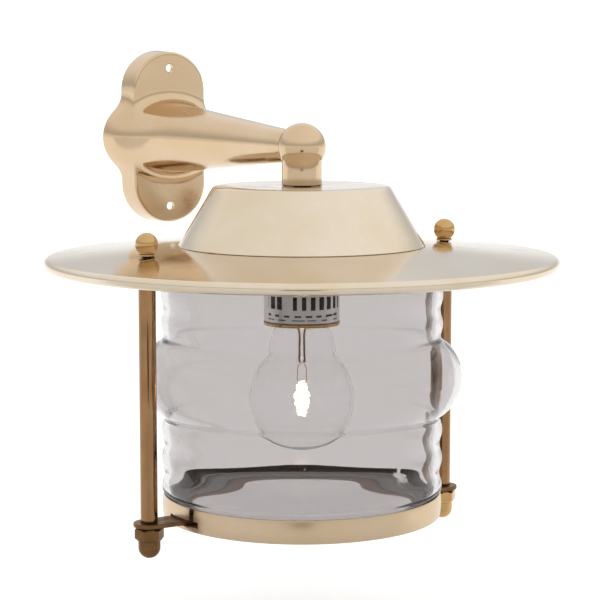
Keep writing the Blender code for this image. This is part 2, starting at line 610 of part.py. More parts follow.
NUT_WASHER_Z = TONGUE_BASE_Z - GAP
NUT_WASHER_R = 6.6 * MM
NUT_WASHER_THICK = 0.5 * MM
NUT_TOP_Z = NUT_WASHER_Z - NUT_WASHER_THICK - GAP
NUT_HEX_R = 8.65 * MM              # across corners, halved
NUT_HEX_THICK = 6.7 * MM
NUT_END_Z = NUT_TOP_Z - NUT_HEX_THICK
DOME_R = 6.3 * MM
DOME_LENGTH = 10.6 * MM
NUT_TURN = math.radians(42.4)      # a corner of the hexagon looks this far from the wall's direction


def acorn_nut(side, sign, brass):
    """Domed nut below the tongue: a chamfered hexagon and its dome, bored from above, on a washer."""
    at = (sign * ROD_OFFSET, AXIS_Y, 0)
    washer = tube_profile(NUT_WASHER_R, HOLE_R, NUT_WASHER_Z, NUT_WASHER_Z - NUT_WASHER_THICK)
    turned(f"nut_washer_{side}", washer, brass, steps=TINY_STEPS, at=at)
    nut = prism(f"acorn_nut_{side}", 6, NUT_HEX_R, NUT_HEX_THICK, brass, turn=NUT_TURN,
                at=(at[0], at[1], NUT_TOP_Z - NUT_HEX_THICK / 2))
    chamfer = 1.3 * MM
    wide, below = NUT_HEX_R + MM, NUT_END_Z - 0.3 * MM
    envelope = [(0, NUT_TOP_Z + MM), (wide, NUT_TOP_Z + MM), (wide, NUT_END_Z + chamfer + 0.5 * MM),
                (NUT_HEX_R - 1.6 * MM, below), (0, below)]
    boolean(nut, turned(f"nut_chamfer_{side}", envelope, closed=False, at=at), "INTERSECT")
    round_z = NUT_END_Z - DOME_LENGTH + DOME_R
    dome = [(0, NUT_END_Z + MM), (DOME_R, NUT_END_Z + MM)] + arc((0, round_z), DOME_R, 0, -75, 5)
    dome += [(0, round_z - DOME_R)]
    boolean(nut, turned(f"nut_dome_{side}", dome, closed=False, steps=16, at=at), "UNION")
    bore = disc_profile(HOLE_R, NUT_TOP_Z + MM, NUT_END_Z - 3.5 * MM)
    boolean(nut, turned(f"nut_bore_{side}", bore, closed=False, steps=TINY_STEPS, at=at))


def rivet(side, sign, brass):
    """Rivet that holds a tongue on the ledge, with its head above the tongue."""
    shank_r, head_r = RIVET_HOLE_R - GAP, 3 * MM
    head_base = TONGUE_TOP_Z + GAP
    profile = [(0, head_base + 1.1 * MM), (1.8 * MM, head_base + 0.9 * MM), (head_r, head_base),
               (shank_r, head_base), (shank_r, RING_BASE_Z + 0.1 * MM), (0, RING_BASE_Z + 0.1 * MM)]
    turned(f"rivet_{side}", profile, brass, closed=False, steps=TINY_STEPS, at=(sign * RIVET_X, AXIS_Y, 0))


def gaskets(rubber, silicone):
    """Soft rings above the jar's rim, sloped like the brim, and below its foot."""
    outer, inner = 83.5 * MM, 75.5 * MM
    under = JAR_TOP_Z + GAP
    slope = [(outer, cone_rise(outer) - SHEET - GAP), (outer, under), (inner, under),
             (inner, cone_rise(inner) - SHEET - GAP)]
    turned("rim_gasket", slope, rubber, steps=BIG_STEPS, at=(0, AXIS_Y, 0))
    foot = tube_profile(FOOT_GASKET_R, FOOT_GASKET_BORE_R, JAR_BASE_Z - GAP, LEDGE_TOP_Z + GAP)
    turned("foot_gasket", foot, silicone, steps=BIG_STEPS, at=(0, AXIS_Y, 0))


def main():
    start_scene()
    brass = make_material("polished_brass", (0.78, 0.62, 0.38), 0.18, metallic=1)
    cast = make_material("cast_brass", (0.76, 0.61, 0.38), 0.28, metallic=1)
    warm = make_material("warm_brass", (0.66, 0.45, 0.2), 0.25, metallic=1)
    steel = make_material("bright_steel", (0.62, 0.61, 0.6), 0.35, metallic=1)
    jar = make_material("clear_glass", (0.93, 0.94, 0.95), 0.03, transmission=1, alpha=0.35)
    lamp_glass = make_material("lamp_glass", (0.97, 0.97, 0.97), 0.02, transmission=1, alpha=0.35)
    ceramic = make_material("porcelain", (0.86, 0.84, 0.8), 0.35)
    rubber = make_material("black_rubber", (0.03, 0.03, 0.03), 0.7)
    silicone = make_material("clear_silicone", (0.8, 0.79, 0.77), 0.4, transmission=0.6, alpha=0.6)
    metal = make_material("lamp_metal", (0.7, 0.7, 0.68), 0.3, metallic=1)
    wall_bracket(cast)
    ball_elbow(cast)
    nipples(warm)
    cap(brass)
    brim(brass)
    cap_fixings(warm)
    lampholder(warm, steel, ceramic)
    bulb(warm, lamp_glass, ceramic, metal)
    inner_lead(rubber)
    glass_jar(jar)
    bottom_ring(brass)
    gaskets(rubber, silicone)
    for side, sign in SIDES.items():
        tongue(side, sign, warm)
        rivet(side, sign, warm)
        rod(side, sign, warm)
        ball_knob(side, sign, warm)
        acorn_nut(side, sign, warm)


main()
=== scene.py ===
"""Looks of the brass ship lantern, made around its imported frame."""

import math

import bmesh
import bpy
import numpy as np
from mathutils import Matrix, Vector


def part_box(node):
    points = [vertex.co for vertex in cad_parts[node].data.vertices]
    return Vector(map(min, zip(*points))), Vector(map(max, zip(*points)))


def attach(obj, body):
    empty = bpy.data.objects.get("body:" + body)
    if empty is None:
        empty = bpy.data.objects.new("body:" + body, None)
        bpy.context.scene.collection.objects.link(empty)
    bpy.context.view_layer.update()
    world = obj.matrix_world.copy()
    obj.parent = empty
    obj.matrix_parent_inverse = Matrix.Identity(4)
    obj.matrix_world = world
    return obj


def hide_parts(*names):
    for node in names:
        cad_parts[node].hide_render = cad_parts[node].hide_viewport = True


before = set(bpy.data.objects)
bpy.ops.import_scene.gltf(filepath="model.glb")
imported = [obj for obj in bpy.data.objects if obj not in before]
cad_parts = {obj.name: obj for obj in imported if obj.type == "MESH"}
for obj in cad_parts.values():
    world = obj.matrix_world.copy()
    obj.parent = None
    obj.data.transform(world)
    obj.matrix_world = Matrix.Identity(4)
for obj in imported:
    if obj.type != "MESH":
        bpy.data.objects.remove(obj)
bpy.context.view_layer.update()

MM = 0.001
GAP = 0.3 * MM                     # clearance that touching solids keep


def size(node):
    low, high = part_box(node)
    return high - low


def middle(node):
    low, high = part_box(node)
    return (low + high) / 2


def top(node):
    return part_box(node)[1].z


def base(node):
    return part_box(node)[0].z


AXIS = Vector((0, middle("brim").y, 0))
SIDES = {"left": -1, "right": 1}
ROD_X = middle("rod_right").x

# Camera, at the angle the lantern is usually shown from: left of its front and a little above the brim
VIEW_AZIMUTH = math.radians(-30)
VIEW_DISTANCE = 1.1417
VIEW_HEIGHT = 0.0489
AIM_Z = -0.0893
AIM_ASIDE = -0.0011
LENS = 117.9


def make_camera():
    data = bpy.data.cameras.new("camera")
    data.lens = LENS
    data.sensor_width = 36
    camera = bpy.data.objects.new("camera", data)
    bpy.context.scene.collection.objects.link(camera)
    back = Vector((math.sin(VIEW_AZIMUTH), -math.cos(VIEW_AZIMUTH), 0))
    aside = Vector((math.cos(VIEW_AZIMUTH), math.sin(VIEW_AZIMUTH), 0))
    camera.location = AXIS + back * VIEW_DISTANCE + Vector((0, 0, VIEW_HEIGHT))
    aim = AXIS + aside * AIM_ASIDE + Vector((0, 0, AIM_Z))
    camera.rotation_mode = "QUATERNION"
    camera.rotation_quaternion = (aim - camera.location).to_track_quat("-Z", "Y")
    bpy.context.scene.camera = camera


# Node trees

def new_tree(name):
    material = bpy.data.materials.new(name)
    material.use_nodes = True
    tree = material.node_tree
    tree.nodes.clear()
    return material, tree


def add(tree, kind, settings=None, **inputs):
    """A node with its settings, and its inputs given as values or as other nodes' outputs."""
    node = tree.nodes.new(kind)
    for key, value in (settings or {}).items():
        setattr(node, key, value)
    for key, value in inputs.items():
        by_index = key[0] == "i" and key[1:].isdigit()
        socket = node.inputs[int(key[1:]) if by_index else key.replace("_", " ")]
        if isinstance(value, bpy.types.NodeSocket):
            tree.links.new(value, socket)
        else:
            socket.default_value = value
    return node


def math_node(tree, operation, first, second=0.0, third=0.0, clamp=False):
    node = add(tree, "ShaderNodeMath", {"operation": operation, "use_clamp": clamp},
               i0=first, i1=second, i2=third)
    return node.outputs[0]


def dot(tree, first, second):
    node = add(tree, "ShaderNodeVectorMath", {"operation": "DOT_PRODUCT"}, i0=first, i1=second)
    return node.outputs["Value"]


def ramp(tree, value, low, high, out_low=0.0, out_high=1.0):
    """A value mapped from low..high to out_low..out_high, and held there."""
    node = add(tree, "ShaderNodeMapRange", {"clamp": True, "interpolation_type": "SMOOTHSTEP"}, Value=value,
               From_Min=low, From_Max=high, To_Min=out_low, To_Max=out_high)
    return node.outputs["Result"]


def noise(tree, vector, scale, detail=3.0, roughness=0.5, distortion=0.0):
    node = add(tree, "ShaderNodeTexNoise", {"noise_dimensions": "3D"}, Vector=vector, Scale=scale,
               Detail=detail, Roughness=roughness, Distortion=distortion)
    return node.outputs["Fac"]


def mix_colour(tree, factor, first, second, blend="MIX"):
    node = tree.nodes.new("ShaderNodeMix")
    node.data_type = "RGBA"
    node.blend_type = blend
    for socket, value in ((node.inputs["Factor"], factor), (node.inputs[6], first), (node.inputs[7], second)):
        if isinstance(value, bpy.types.NodeSocket):
            tree.links.new(value, socket)
        elif socket.type == "RGBA":
            socket.default_value = (*value, 1)
        else:
            socket.default_value = value
    return node.outputs[2]


def object_coordinates(tree):
    return add(tree, "ShaderNodeTexCoord").outputs["Object"]


def turned_coordinates(tree, centre):
    """Radius, angle and height about an upright axis, as one vector: what a lathe leaves lies across it."""
    place = add(tree, "ShaderNodeVectorMath", {"operation": "SUBTRACT"},
                i0=object_coordinates(tree), i1=centre)
    split = add(tree, "ShaderNodeSeparateXYZ", Vector=place.outputs[0])
    x, y, z = split.outputs
    across = math_node(tree, "SQRT", math_node(tree, "ADD", math_node(tree, "MULTIPLY", x, x),
                                               math_node(tree, "MULTIPLY", y, y)))
    angle = math_node(tree, "ARCTAN2", y, x)
    return across, angle, z


def combine(tree, x, y, z):
    return add(tree, "ShaderNodeCombineXYZ", X=x, Y=y, Z=z).outputs[0]


def finish_material(tree, shader, bump=None):
    if bump is not None:
        tree.links.new(bump, shader.inputs["Normal"])
    output = tree.nodes.new("ShaderNodeOutputMaterial")
    tree.links.new(shader.outputs[0], output.inputs["Surface"])


def brass(name, colour, tarnish, roughness, lathe_axis=None, ring_depth=0.0, cast_depth=0.0, grime=0.55,
          seam_width=3 * MM, inner_r=None, age=0.0):
    """Polished brass: cloudy tone, smudges, fine polishing lines, bright worn edges and darker seams.

    A lathe axis adds the faint rings that spinning or turning leaves, cast_depth the soft dimples of a
    casting. Surfaces nearer the lathe axis than inner_r were never polished, and age spreads brown patches
    over the rest.
    """
    material, tree = new_tree(name)
    place = object_coordinates(tree)
    cloud = noise(tree, place, 22.0, 4.0, 0.55)
    mottle = noise(tree, place, 260.0, 3.0, 0.6)
    smudge = ramp(tree, noise(tree, place, 48.0, 5.0, 0.62, 0.6), 0.52, 0.72)
    geometry = tree.nodes.new("ShaderNodeNewGeometry")
    edge = ramp(tree, geometry.outputs["Pointiness"], 0.53, 0.60)
    seam = add(tree, "ShaderNodeAmbientOcclusion", {"samples": 4}, Distance=seam_width).outputs["AO"]
    seam = ramp(tree, seam, 0.35, 0.85, 1.0, 0.0)
    deep = tuple(c * s for c, s in zip(colour, (0.95, 0.91, 0.82)))
    pale = tuple(min(c * s, 1) for c, s in zip(colour, (1.05, 1.06, 1.08)))
    shade = mix_colour(tree, ramp(tree, cloud, 0.3, 0.7), deep, colour)
    shade = mix_colour(tree, ramp(tree, mottle, 0.35, 0.75, 0.0, 0.22), shade, deep)
    shade = mix_colour(tree, math_node(tree, "MULTIPLY", edge, 0.6), shade, pale)
    shade = mix_colour(tree, math_node(tree, "MULTIPLY", seam, grime), shade, tarnish)
    rough = math_node(tree, "MULTIPLY_ADD", smudge, 0.07, roughness)
    if age:
        patches = ramp(tree, noise(tree, place, 110.0, 5.0, 0.65, 0.4), 0.42, 0.68, 0.0, age)
        shade = mix_colour(tree, patches, shade, tarnish)
        rough = math_node(tree, "MULTIPLY_ADD", patches, 0.25, rough)
    rough = math_node(tree, "MULTIPLY_ADD", ramp(tree, mottle, 0.4, 0.8), 0.04, rough)
    rough = math_node(tree, "MULTIPLY_ADD", seam, 0.25, rough)
    streaks = noise(tree, add(tree, "ShaderNodeMapping", {"vector_type": "TEXTURE"}, Vector=place,
                              Rotation=(0.6, 0.3, 0.9), Scale=(1, 0.02, 0.05)).outputs[0], 55.0, 2.0)
    height = math_node(tree, "MULTIPLY", streaks, 0.12)
    if lathe_axis is not None:
        across, angle, z = turned_coordinates(tree, lathe_axis)
        if inner_r is not None:
            raw = math_node(tree, "LESS_THAN", across, inner_r)
            shade = mix_colour(tree, raw, shade, UNPOLISHED)
            rough = math_node(tree, "MULTIPLY_ADD", raw, 0.22, rough)
        rings = noise(tree, combine(tree, math_node(tree, "MULTIPLY", across, 900.0),
                                    math_node(tree, "MULTIPLY", angle, 1.5),
                                    math_node(tree, "MULTIPLY", z, 900.0)), 1.0, 3.0, 0.7)
        height = math_node(tree, "MULTIPLY_ADD", rings, ring_depth, height)
        rough = math_node(tree, "MULTIPLY_ADD", rings, 0.05, rough)
    if cast_depth:
        dimples = noise(tree, place, 120.0, 2.0, 0.4)
        height = math_node(tree, "MULTIPLY_ADD", dimples, cast_depth, height)
    bump = add(tree, "ShaderNodeBump", Strength=0.05, Distance=0.4 * MM, Height=height)
    shader = add(tree, "ShaderNodeBsdfPrincipled", Base_Color=shade, Roughness=rough, Metallic=1.0)
    finish_material(tree, shader, bump.outputs[0])
    return material


def clear_glass(name, tint, ripple, seeds, roughness=0.0, ior=1.5):
    """Clear glass with slow ripples in its skin and small seeds, both as relief."""
    material, tree = new_tree(name)
    place = object_coordinates(tree)
    waves = noise(tree, place, 28.0, 2.0, 0.45)
    cell = add(tree, "ShaderNodeTexVoronoi", {"feature": "F1"}, Vector=place, Scale=130.0)
    seed = ramp(tree, cell.outputs["Distance"], 0.03, 0.09, 1.0, 0.0)
    rare = ramp(tree, cell.outputs["Color"], 0.86, 0.88)
    height = math_node(tree, "MULTIPLY", waves, ripple)
    height = math_node(tree, "MULTIPLY_ADD", math_node(tree, "MULTIPLY", seed, rare), seeds, height)
    bump = add(tree, "ShaderNodeBump", Strength=0.35, Distance=0.5 * MM, Height=height)
    shader = add(tree, "ShaderNodeBsdfPrincipled", Base_Color=(*tint, 1), Roughness=roughness, IOR=ior)
    shader.inputs["Transmission Weight"].default_value = 1.0
    finish_material(tree, shader, bump.outputs[0])
    return material


def dull(name, colour, second, roughness, scale, depth, metallic=0.0):
    """A plain material with grain: rubber, porcelain, drawn metal."""
    material, tree = new_tree(name)
    place = object_coordinates(tree)
    grain = noise(tree, place, scale, 4.0, 0.6)
    patch = noise(tree, place, scale * 0.06, 3.0)
    shade = mix_colour(tree, ramp(tree, patch, 0.3, 0.7), colour, second)
    rough = ramp(tree, grain, 0.3, 0.7, roughness - 0.06, roughness + 0.08)
    bump = add(tree, "ShaderNodeBump", Strength=0.2, Distance=depth, Height=grain)
    shader = add(tree, "ShaderNodeBsdfPrincipled", Base_Color=shade, Roughness=rough, Metallic=metallic)
    finish_material(tree, shader, bump.outputs[0])
    return material


# Shapes

def rounded(profile, closed):
    """A profile whose points may carry a third number, the radius that rounds that corner."""
    points = []
    count = len(profile)
    for i, point in enumerate(profile):
        here = Vector(point[:2])
        inside = closed or 0 < i < count - 1
        if len(point) < 3 or not inside:
            points.append(here)
            continue
        to_last = Vector(profile[i - 1][:2]) - here
        to_next = Vector(profile[(i + 1) % count][:2]) - here
        half = to_last.angle(to_next) / 2
        reach = min(point[2] / math.tan(half), 0.48 * min(to_last.length, to_next.length))
        radius = reach * math.tan(half)
        first, last = here + to_last.normalized() * reach, here + to_next.normalized() * reach
        centre = here + (to_last.normalized() + to_next.normalized()).normalized() * radius / math.sin(half)
        turn = (first - centre).angle_signed(last - centre)
        steps = max(2, round(abs(math.degrees(turn)) / 15))
        for k in range(steps + 1):
            spoke = first - centre
            spoke.rotate(Matrix.Rotation(-turn * k / steps, 2))
            points.append(centre + spoke)
    return [(p.x, p.y) for p in points]


def arc(centre, radius, start, end, count):
    """Points on an arc in the plane of a profile, angles in degrees from the +radius direction."""
    angles = [math.radians(start + (end - start) * i / count) for i in range(count + 1)]
    return [(centre[0] + radius * math.cos(a), centre[1] + radius * math.sin(a)) for a in angles]


def mesh_piece(name, vertices, faces, material, sharp=40):
    mesh = bpy.data.meshes.new(name)
    mesh.from_pydata(vertices, [], faces)
    bm = bmesh.new()
    bm.from_mesh(mesh)
    bmesh.ops.remove_doubles(bm, verts=bm.verts, dist=1e-7)
    bmesh.ops.recalc_face_normals(bm, faces=bm.faces)
    bm.to_mesh(mesh)
    bm.free()
    mesh.shade_smooth()
    mesh.set_sharp_from_angle(angle=math.radians(sharp))
    piece = bpy.data.objects.new(name, mesh)
    bpy.context.scene.collection.objects.link(piece)
    if material is not None:
        mesh.materials.append(material)
    return piece


def lathe(name, profile, material, steps=128, closed=False, centre=AXIS, along=None, shape=None, sharp=40):
    """A profile of (radius, height) turned about an upright axis through centre, or about along.

    shape(radius, height, angle) may change the radius, for flats, threads and wobble.
    """
    points = rounded(profile, closed)
    vertices, rows = [], []
    for radius, height in points:
        if radius < 1e-8:
            rows.append([len(vertices)])
            vertices.append(Vector((0, 0, height)))
            continue
        rows.append(list(range(len(vertices), len(vertices) + steps)))
        for k in range(steps):
            angle = 2 * math.pi * k / steps
            r = shape(radius, height, angle) if shape else radius
            vertices.append(Vector((r * math.cos(angle), r * math.sin(angle), height)))
    pairs = list(zip(rows, rows[1:]))
    if closed:
        pairs.append((rows[-1], rows[0]))
    faces = []
    for upper, lower in pairs:
        if len(upper) == 1 and len(lower) == 1:
            continue
        for k in range(steps):
            j = (k + 1) % steps
            corners = [upper[k % len(upper)], upper[j % len(upper)],
                       lower[j % len(lower)], lower[k % len(lower)]]
            faces.append(list(dict.fromkeys(corners)))
    turn = Vector((0, 0, 1)).rotation_difference(Vector(along)).to_matrix() if along else Matrix.Identity(3)
    vertices = [turn @ v + Vector(centre) for v in vertices]
    return mesh_piece(name, vertices, faces, material, sharp)


def drill(name, radius, low, high, steps, centre=AXIS, along=None):
    """A plain round bar that cuts a hole."""
    profile = [(0, low), (radius, low), (radius, high), (0, high)]
    return lathe(name, profile, None, steps, centre=centre, along=along)


def helix(low, high, pitch, depth, run=1.2 * MM):
    """A right-handed screw thread as a shape for lathe, fading out over run at both ends."""
    def shape(radius, height, angle):
        if not low < height < high:
            return radius
        fade = min(1.0, (height - low) / run, (high - height) / run)
        wave = 0.5 - 0.5 * math.cos(2 * math.pi * (height / pitch - angle / (2 * math.pi)))
        return radius - depth * fade * wave
    return shape


def column(radius, high, low, spacing):
    """Profile points down a straight side, close enough together to carry a thread."""
    count = max(1, round((high - low) / spacing))
    return [(radius, high + (low - high) * i / count) for i in range(count + 1)]


def cut(piece, cutter, operation="DIFFERENCE"):
    """Applies a Boolean and removes the cutter."""
    modifier = piece.modifiers.new("cut", "BOOLEAN")
    modifier.operation = operation
    modifier.object = cutter
    modifier.solver = "EXACT"
    depsgraph = bpy.context.evaluated_depsgraph_get()
    mesh = bpy.data.meshes.new_from_object(piece.evaluated_get(depsgraph))
    piece.modifiers.clear()
    piece.data = mesh
    bpy.data.objects.remove(cutter)


def soften(piece, width, segments=2, angle=40):
    """Breaks a piece's sharp edges."""
    bevel = piece.modifiers.new("edges", "BEVEL")
    bevel.width = width
    bevel.segments = segments
    bevel.limit_method = "ANGLE"
    bevel.angle_limit = math.radians(angle)
    bevel.harden_normals = False
    bevel.use_clamp_overlap = True


def place(piece, body, slot, *nodes):
    """Puts a piece on its CAD body, in place of CAD nodes; its slot argument is not used."""
    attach(piece, body)
    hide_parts(*nodes)
    return piece


# Finishes

CENTRE = tuple(AXIS)
RING_BORE_R = 81 * MM
UNPOLISHED = (0.27, 0.14, 0.065)


def make_finishes():
    spun = (0.71, 0.62, 0.505)
    # The ring is the same brass as the cap: its darker, warmer colour is painted shade for the warmer, dimmer
    # light low on the lantern, while its greater roughness is real
    ring = (0.63, 0.495, 0.355)
    cast = (0.64, 0.49, 0.335)
    warm = (0.56, 0.36, 0.165)
    aged = (0.44, 0.265, 0.115)
    stained = (0.19, 0.105, 0.045)
    dark = (0.13, 0.07, 0.032)
    rubber, rubber_worn = (0.025, 0.025, 0.026), (0.05, 0.048, 0.045)
    metal, metal_dull = (0.72, 0.71, 0.69), (0.6, 0.59, 0.57)
    return {
        "polished_brass": brass("spun_brass_look", spun, dark, 0.08, lathe_axis=CENTRE, ring_depth=0.12,
                                grime=0.3, seam_width=1.2 * MM),
        # ring colour: painted shade, darker and warmer than the cap's brass
        "ring_brass": brass("ring_brass_look", ring, dark, 0.27, lathe_axis=CENTRE, ring_depth=0.05,
                            seam_width=1.5 * MM, inner_r=RING_BORE_R + 0.3 * MM),
        "cast_brass": brass("cast_brass_look", cast, dark, 0.12, cast_depth=0.9, seam_width=2 * MM),
        "warm_brass": brass("warm_brass_look", warm, dark, 0.11),
        "aged_brass": brass("aged_brass_look", aged, dark, 0.18, age=0.55),
        "stained_brass": brass("stained_brass_look", stained, dark, 0.34, age=0.45),
        "rod_brass": rod_brass(),
        "bright_steel": sleeve_steel(),
        "clear_glass": clear_glass("jar_glass_look", (0.665, 0.645, 0.64), 0.12, 0.5, ior=1.22),
        "lamp_glass": clear_glass("lamp_glass_look", (0.985, 0.985, 0.985), 0.02, 0.0, ior=1.15),
        "silicone": silicone(),
        "porcelain": dull("porcelain_look", (0.86, 0.84, 0.79), (0.80, 0.77, 0.71), 0.3, 900.0, 0.05 * MM),
        "black_rubber": dull("rubber_look", rubber, rubber_worn, 0.62, 1400.0, 0.1 * MM),
        "lamp_metal": dull("lamp_metal_look", metal, metal_dull, 0.28, 1500.0, 0.03 * MM, 1.0),
        "dark_glass": dull("insulator_look", (0.05, 0.045, 0.06), (0.09, 0.08, 0.1), 0.12, 500.0, 0.02 * MM),
        "lead_sheath": dull("sheath_look", (0.03, 0.03, 0.03), (0.05, 0.05, 0.05), 0.45, 1200.0, 0.05 * MM),
        "hot": hot_wire(),
    }


def silicone():
    """Milky translucent ring, a little uneven."""
    material, tree = new_tree("silicone_look")
    place = object_coordinates(tree)
    cloud = ramp(tree, noise(tree, place, 70.0, 3.0), 0.3, 0.7)
    shade = mix_colour(tree, cloud, (0.74, 0.72, 0.70), (0.82, 0.81, 0.79))
    rough = ramp(tree, noise(tree, place, 900.0, 3.0), 0.3, 0.7, 0.3, 0.45)
    shader = add(tree, "ShaderNodeBsdfPrincipled", Base_Color=shade, Roughness=rough, IOR=1.41)
    shader.inputs["Transmission Weight"].default_value = 0.75
    finish_material(tree, shader)
    return material


def rod_brass():
    """Brown drawn bar with stains that run along it."""
    material, tree = new_tree("rod_brass_look")
    colour, tarnish = (0.37, 0.21, 0.10), (0.16, 0.09, 0.04)
    place = object_coordinates(tree)
    drawn = add(tree, "ShaderNodeMapping", Vector=place, Scale=(1, 1, 0.03)).outputs[0]
    stripe = noise(tree, drawn, 160.0, 3.0, 0.55)
    fine = noise(tree, drawn, 1500.0, 2.0)
    blotch = noise(tree, place, 45.0, 4.0, 0.6)
    seam = add(tree, "ShaderNodeAmbientOcclusion", {"samples": 4}, Distance=3.0 * MM).outputs["AO"]
    seam = ramp(tree, seam, 0.35, 0.85, 1.0, 0.0)
    stain = math_node(tree, "MULTIPLY_ADD", blotch, 0.5, math_node(tree, "MULTIPLY", stripe, 0.6))
    stain = ramp(tree, stain, 0.46, 0.68, 0.0, 0.4)
    shade = mix_colour(tree, stain, colour, tarnish)
    shade = mix_colour(tree, math_node(tree, "MULTIPLY", seam, 0.5), shade, tarnish)
    rough = math_node(tree, "MULTIPLY_ADD", stain, 0.18, 0.08)
    bump = add(tree, "ShaderNodeBump", Strength=0.08, Distance=0.1 * MM, Height=fine)
    shader = add(tree, "ShaderNodeBsdfPrincipled", Base_Color=shade, Roughness=rough, Metallic=1.0)
    finish_material(tree, shader, bump.outputs[0])
    return material


def hot_wire():
    """White-hot wire, unevenly bright along its length."""
    material, tree = new_tree("hot_wire_look")
    uneven = ramp(tree, noise(tree, object_coordinates(tree), 420.0, 3.0), 0.3, 0.7)
    light = mix_colour(tree, uneven, (1.0, 0.52, 0.20), (1.0, 0.80, 0.52))
    shader = add(tree, "ShaderNodeBsdfPrincipled", Base_Color=light, Roughness=0.5, Emission_Color=light,
                 Emission_Strength=8.0)
    finish_material(tree, shader)
    return material


SKIRT_R = size("lampholder_skirt").x / 2
SLEEVE_FACE = math.radians(-120)   # middle of the printed side, about the lantern's axis from +X


def cell_pattern(tree, arc_length, z, centre, height, pitch, seed):
    """Cells in a row round the sleeve: how far across and up each the surface is, and two random numbers."""
    column_at = math_node(tree, "DIVIDE", arc_length, pitch)
    cell = math_node(tree, "ADD", math_node(tree, "FLOOR", column_at), seed)
    across = math_node(tree, "MULTIPLY_ADD", math_node(tree, "FRACT", column_at), 2.0, -1.0)
    up = math_node(tree, "DIVIDE", math_node(tree, "SUBTRACT", z, centre), height / 2)
    first = add(tree, "ShaderNodeTexWhiteNoise", {"noise_dimensions": "1D"}, W=cell).outputs["Value"]
    second = add(tree, "ShaderNodeTexWhiteNoise", {"noise_dimensions": "1D"},
                 W=math_node(tree, "ADD", cell, 37.3)).outputs["Value"]
    return across, up, first, second


def within(tree, value, low, high):
    return math_node(tree, "MULTIPLY", math_node(tree, "GREATER_THAN", value, low),
                     math_node(tree, "LESS_THAN", value, high))


# Each printed row: height above the sleeve's end, how tall, pitch round the sleeve, share of cells filled
PRINT_ROWS = ((10.8 * MM, 8.6 * MM, 5.2 * MM, 0.72),
              (4.0 * MM, 0.9 * MM, 6.4 * MM, 0.95),
              (2.0 * MM, 0.6 * MM, 8.8 * MM, 0.95))
PRINT_HALF_ANGLE = 1.25            # radians of the sleeve that carry print, to each side of its front
MARK_START = -0.86                 # where a mark begins in its cell, which runs from -1 to 1
MARK_REACH = 0.9                   # and the furthest that it may end
INK = (0.022, 0.013, 0.009)


def sleeve_steel():
    """Brushed bright steel with a row of plain printed blocks over two rows of long dashes."""
    material, tree = new_tree("sleeve_steel_look")
    across, angle, z = turned_coordinates(tree, CENTRE)
    arc_length = math_node(tree, "MULTIPLY", angle, SKIRT_R)
    brushed = noise(tree, combine(tree, math_node(tree, "MULTIPLY", arc_length, 60.0),
                                  across, math_node(tree, "MULTIPLY", z, 4000.0)), 1.0, 4.0, 0.65)
    patch = noise(tree, object_coordinates(tree), 60.0, 3.0)
    shade = mix_colour(tree, ramp(tree, patch, 0.3, 0.7), (0.66, 0.645, 0.63), (0.74, 0.725, 0.71))
    low_end = base("lampholder_skirt")
    ink = 0.0
    for seed, (height, tall, pitch, filled) in enumerate(PRINT_ROWS, start=3):
        side, up, kind, extra = cell_pattern(tree, arc_length, z, low_end + height, tall, pitch, seed)
        long_enough = within(tree, side, MARK_START, math_node(tree, "MULTIPLY_ADD", extra, MARK_REACH, 0.0))
        cell = math_node(tree, "MULTIPLY", long_enough, within(tree, up, -1.0, 1.0))
        cell = math_node(tree, "MULTIPLY", cell, math_node(tree, "LESS_THAN", kind, filled))
        ink = math_node(tree, "MAXIMUM", ink, cell)
    turned = math_node(tree, "ABSOLUTE", math_node(tree, "SUBTRACT", angle, SLEEVE_FACE))
    facing = math_node(tree, "LESS_THAN", turned, PRINT_HALF_ANGLE)
    ink = math_node(tree, "MULTIPLY", ink, facing)
    shade = mix_colour(tree, ink, shade, INK)
    rough = math_node(tree, "MULTIPLY_ADD", brushed, 0.16, 0.24)
    rough = math_node(tree, "MULTIPLY_ADD", ink, 0.2, rough)
    metal = math_node(tree, "SUBTRACT", 1.0, ink)
    bump = add(tree, "ShaderNodeBump", Strength=0.12, Distance=0.05 * MM, Height=brushed)
    shader = add(tree, "ShaderNodeBsdfPrincipled", Base_Color=shade, Roughness=rough, Metallic=metal)
    finish_material(tree, shader, bump.outputs[0])
    return material


# Cast bracket

LOBE_R = 26.5 * MM
LOBE_Z = 30 * MM
HUB_R = size("wall_bracket").x / 2
PLATE_DEPTH = 18.5 * MM
PLATE_DRAFT = 0.06                 # the plate's sides lean in by this much for each unit from the wall
PLATE_WALL = 4 * MM
FRONT_ROUND = 1.6 * MM
FILLET = 6 * MM                    # reach of the soft blend between plate and arm
HUB_LENGTH = 27 * MM               # over which the arm spreads out to the hub
HUB_RISE = 4.2 * MM
SCREW_Z = 45 * MM
SCREW_HOLE_R = 2.75 * MM
ARM_ROOT_R = 23.2 * MM
ARM_TIP_R = 10.2 * MM
ARM_TIP = 23.5 * MM                # the tip radius is measured this far from the lantern's axis
BALL_R = size("ball_elbow").x / 2
STEM_R = 11.75 * MM
NIPPLE_R = size("stem_nipple").x / 2
NIPPLE_HOLE_R = NIPPLE_R + GAP
ROOT = -AXIS.y - PLATE_DEPTH       # the plate's face, measured from the lantern's axis
BRACKET_STEPS = 288


def arm_radius(distance):
    return ARM_TIP_R + (ARM_ROOT_R - ARM_TIP_R) * (distance - ARM_TIP) / (ROOT - ARM_TIP)


